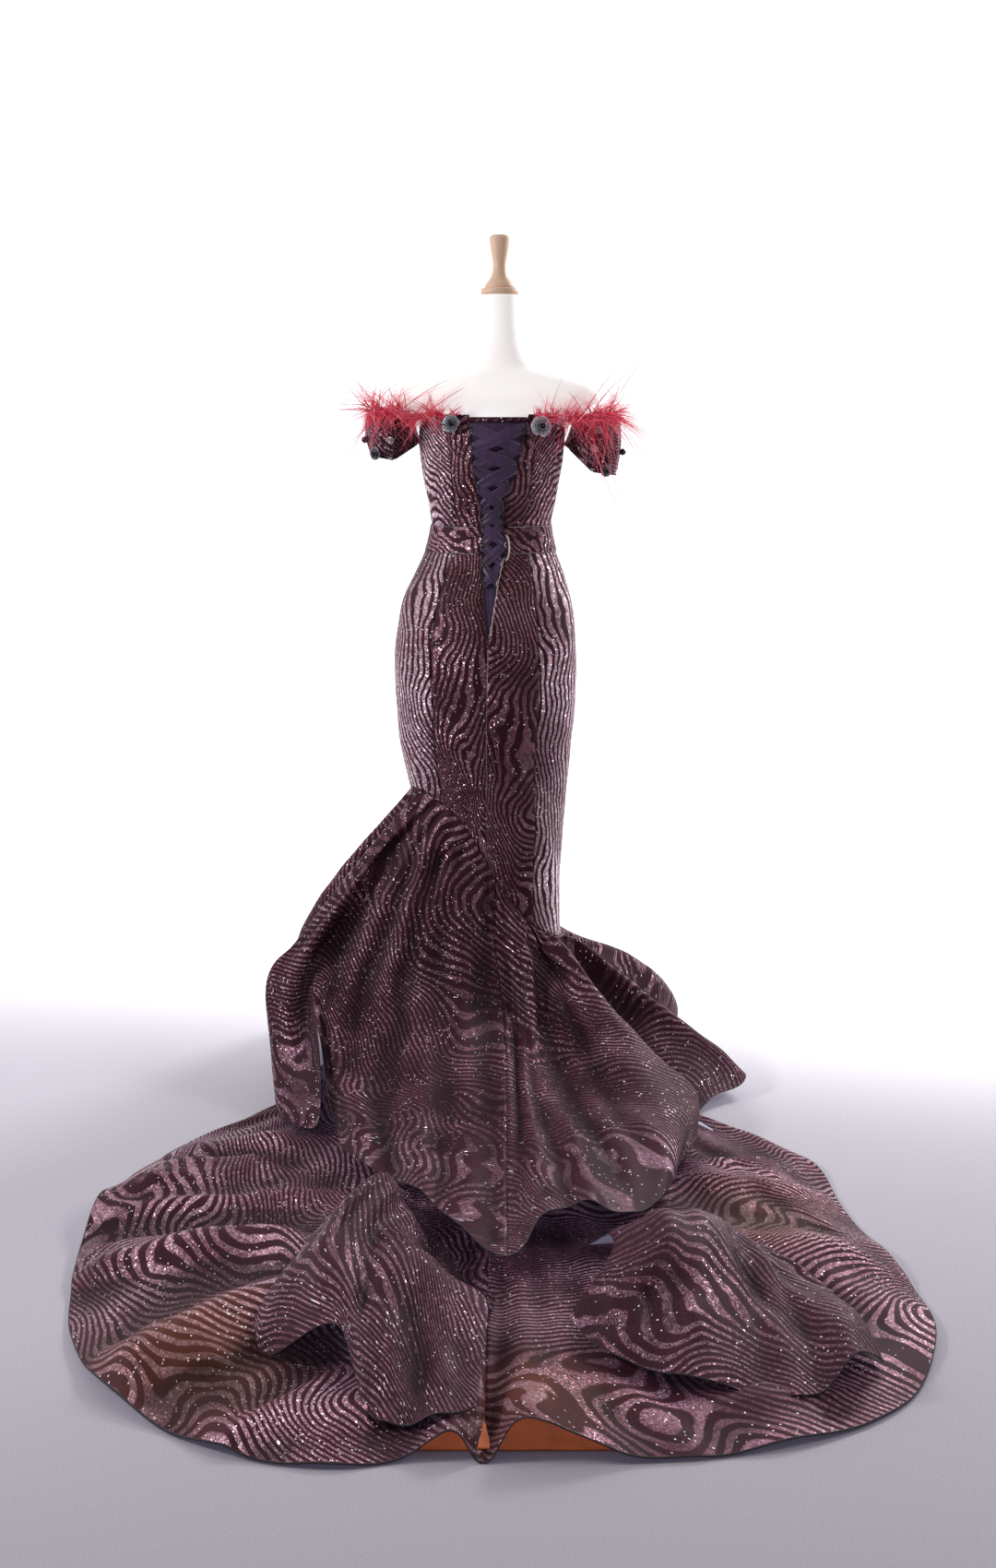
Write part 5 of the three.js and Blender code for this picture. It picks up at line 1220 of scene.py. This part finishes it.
# columns: lean from upright, change along the strip, length, growth, droop
LOCKS = {
    "left": [(-25, 42, 24, 46, 0.0), (20, 40, 22, 40, -0.1), (60, 30, 20, 36, -0.3), (165, -40, 24, 22, 0.0)],
    "right": [(-25, 60, 24, 20, 0.0), (18, 55, 22, 34, -0.15), (62, 40, 20, 46, -0.5), (168, -30, 26, 34, 0.0)],
}
for side, sign in (("left", 1), ("right", -1)):
    line = curve_through(STRIP[side], 8)
    box_low, box_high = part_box(f"feathers_{side}")
    rose = middle_of(f"rosette_back_{side}")
    points, faces, uvs, index = [], [], [], []
    count = 0
    for clump in range(CLUMPS):
        t = random.uniform(0, 1)
        start = line[int(t * (len(line) - 1))] + random.normal(size=3) * (1.0, 0.6, 2.0)
        lean, turn, length, growth, droop = LOCKS[side][clump % 4]
        away = np.hypot(start[0] - rose[0], start[2] - rose[2])
        if clump % 4 == 3 and (random.uniform() < 0.5 or away < ROSE_NEAR) or away < ROSE_CLEAR:
            continue
        spread, shortest, longest, curling, strands, sag = TUFT if clump % 3 else WISP
        lean = lean + turn * t + random.normal() * spread
        length = (length + growth * t) * random.uniform(shortest, longest)
        heading = np.array([sign * math.sin(lean * RAD), random.uniform(0.1, 0.75), math.cos(lean * RAD)])
        curl = random.normal(size=3) * curling
        for strand in range(strands):
            way = unit(unit(heading) + random.normal(size=3) * 0.12)
            long = length * random.uniform(0.55, 1.1)
            s = np.linspace(0, 1, len(TAPER))[:, None]
            path = start + way * long * s + (curl + random.normal(size=3) * 0.16) * long * 0.75 * s**2
            path[:, 2] += droop * long * s[:, 0] ** 2 - sag * long * s[:, 0] ** 3
            room = max((path[:, 0].max() - start[0]) / (box_high[0] * 1000 + PLUME_MARGIN - start[0]),
                       (start[0] - path[:, 0].min()) / (start[0] - box_low[0] * 1000 + PLUME_MARGIN), 1.0)
            path = start + (path - start) / room
            path[:, 1] = np.maximum(path[:, 1], PLUME_BACK)
            width = random.uniform(0.5, 0.85) * TAPER
            across = unit(np.cross(way, random.normal(size=3)))
            ring = np.stack([path - across * width, path + across * width], 1)
            points.append(ring.reshape(-1, 3))
            uvs.append(np.stack([np.tile([0.0, 1.0], len(TAPER)), np.repeat(s[:, 0], 2)], -1))
            for k in range(len(TAPER) - 1):
                a = count + 2 * k
                faces.append([a, a + 1, a + 3, a + 2])
                index.append(1 if (clump + strand) % 6 == 0 else 0)
            count += 2 * len(TAPER)
    add_mesh(f"feathers_{side}_plumes", np.concatenate(points), faces, [CRIMSON, DUSK], index,
             np.concatenate(uvs), None, [f"feathers_{side}"])


# Rosettes, bead flowers and beads

def petal(centre, facing, angle, inner, outer, width, lift, curl, rows=6, cols=7):
    facing = unit(np.asarray(facing, float))
    across = unit(np.cross((0, 0, 1), facing))
    up = np.cross(facing, across)
    radial = across * math.cos(angle) + up * math.sin(angle)
    side = -across * math.sin(angle) + up * math.cos(angle)
    r = np.linspace(inner, outer, rows)[:, None, None]
    s = np.linspace(-1, 1, cols)[None, :, None]
    f = np.linspace(0, 1, rows)[:, None, None]
    wide = width * (0.45 + 0.75 * np.sin(f * 2.3))
    cup = lift * (1 - f) + curl * f**3 + 0.22 * width * s**2 * (1 - 0.4 * f)
    grid = centre + radial * (r - 0.16 * outer * s**2 * f) + side * s * wide + facing * cup
    return grid.transpose(1, 0, 2)


def add_petals(name, petals, material, beads):
    points, faces, uvs = join(strips(petals, 0.7) + beads)
    add_mesh(f"{name}_petals", points, faces, [material], None, uvs, None, [name])


def ball(centre, radius, rings=8, sides=12):
    tilt = np.linspace(0.15, math.pi - 0.15, rings)[:, None]
    turn = np.linspace(0, 2 * math.pi, sides, endpoint=False)[None, :]
    points = np.stack([np.sin(tilt) * np.sin(turn), np.sin(tilt) * np.cos(turn), np.cos(tilt) + 0 * turn], -1)
    return (np.asarray(centre) + radius * points).reshape(-1, 3), ring_faces(rings, sides), np.zeros((rings * sides, 2))


# columns: radius, direction faced
ROSES = {
    "rosette_back_left": (17, (0.15, 1, 0.12)),
    "rosette_back_right": (21, (-0.25, 1, 0.1)),
    "rosette_cuff_left": (13, (0.75, 1, -0.1)),
    "rosette_cuff_right": (13, (-0.65, 1, -0.1)),
}
for name, (radius, facing) in ROSES.items():
    centre = middle_of(name) + 0.1 * radius * np.array(facing)
    petals = []
    # columns: petals, then from inner to curl in shares of the radius, turn
    for count, inner, outer, width, lift, curl, turn in (
        (6, 0.30, 1.0, 0.46, 0.16, 0.10, 0.0),
        (5, 0.22, 0.78, 0.42, 0.34, 0.22, 0.5),
        (4, 0.12, 0.55, 0.34, 0.50, 0.40, 0.2),
        (3, 0.04, 0.32, 0.24, 0.62, 0.56, 0.9),
    ):
        for k in range(count):
            angle = 2 * math.pi * (k + turn) / count + 0.2 * random.normal()
            petals.append(petal(centre, facing, angle, inner * radius, outer * radius, width * radius,
                                lift * radius, curl * radius * random.uniform(0.8, 1.2)))
    add_petals(name, petals, PEWTER, [ball(centre + np.array(facing) * radius * 0.62, radius * 0.14)])

for k in range(1, 6):
    name = f"bead_flower_{k}"
    centre = middle_of(name)
    centre[1] -= 1.2
    petals = [petal(centre, (0, 1, 0), 2 * math.pi * j / 6, 1.6, 7.4, 2.5, 0.8, 1.4, 4, 5) for j in range(6)]
    beads = [ball(centre + (0, 1.6, 0), 1.9)]
    beads += [ball(centre + (7.0 * math.cos(a), 1.4, 7.0 * math.sin(a)), 0.8, 5, 6)
              for a in np.linspace(0, 2 * math.pi, 12, endpoint=False)]
    add_petals(name, petals, SILVER, beads)

for side in ("left", "right"):
    name = f"black_bead_{side}"
    points, faces, _ = ball(middle_of(name), 6.8, 14, 24)
    add_mesh(f"{name}_glass", points, faces, [JET], nodes=[name])


# Studio

floor_material, n = new_material("studio_floor", "c9c6d0", 0.9)
aside, away, _ = n.parts(n.object)
carpet = n.ramp(n.past(away, -0.5, 0.3), (0.0, "e0dbe4"), (0.36, "b3aeb7"), (0.85, "8a848c"))
carpet = n.mix(n.past(n.noise(n.object, 420.0, 2.0), 0.3, 0.95), carpet, "6d6873")
# painted light: the floor glows towards white further back and to one side, as if washed out by the bright light behind
fade = n.past(n.sum(away, n.times(aside, 0.22)), 0.35, -1.1)
n.shade(Base_Color=carpet, Emission_Color="ffffff", Emission_Strength=n.times(fade, fade))
mesh = bpy.data.meshes.new("studio_floor")
mesh.from_pydata([(-14, -14, 0), (14, -14, 0), (14, 14, 0), (-14, 14, 0)], [], [(0, 1, 2, 3)])
mesh.materials.append(floor_material)
floor = bpy.data.objects.new("studio_floor", mesh)
bpy.context.scene.collection.objects.link(floor)
floor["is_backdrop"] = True

world = bpy.data.worlds.new("studio")
bpy.context.scene.world = world
world.use_nodes = True
n = Nodes(world.node_tree)
aside, away, _ = n.parts(n.generated)
power = n.sum(n.scaled(n.past(away, 0.45, -0.85), 1.05, 0.22), n.times(aside, 0.22))
background = world.node_tree.nodes["Background"].inputs
n.put(background["Color"], (0.97, 0.97, 1.0, 1))
n.put(background["Strength"], power)

# columns: place, aim, size, power
for name, (place, aim, size, power) in {
    "key": ((2.4, 1.3, 1.9), (0, 0.0, 1.15), 0.5, 52),
    "fill": ((-2.6, 1.2, 2.4), (-0.3, 0.7, 0.2), 0.9, 28),
    "rim": ((-2.0, -1.5, 2.5), (-0.2, 0.7, 0.3), 1.0, 66),
}.items():
    data = bpy.data.lights.new(name, "AREA")
    data.size = size
    data.energy = power
    lamp = bpy.data.objects.new(name, data)
    lamp.location = place
    lamp.rotation_euler = (Vector(aim) - Vector(place)).to_track_quat("-Z", "Y").to_euler()
    bpy.context.scene.collection.objects.link(lamp)

# solved from the photo's floor line, the train's base and the form
LENS, CAMERA_AWAY, CAMERA_HEIGHT, CAMERA_TILT = 37.86, 3.4, 1.35, 12.3
camera = bpy.data.objects.new("photo_camera", bpy.data.cameras.new("photo_camera"))
camera.data.lens = LENS
camera.data.sensor_width = 36
camera.data.dof.use_dof = False
camera.location = (0, CAMERA_AWAY, CAMERA_HEIGHT)
camera.rotation_euler = ((90 - CAMERA_TILT) * RAD, 0, math.pi)
bpy.context.scene.collection.objects.link(camera)
bpy.context.scene.camera = camera
bpy.context.scene.view_settings.view_transform = "Standard"

low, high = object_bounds()
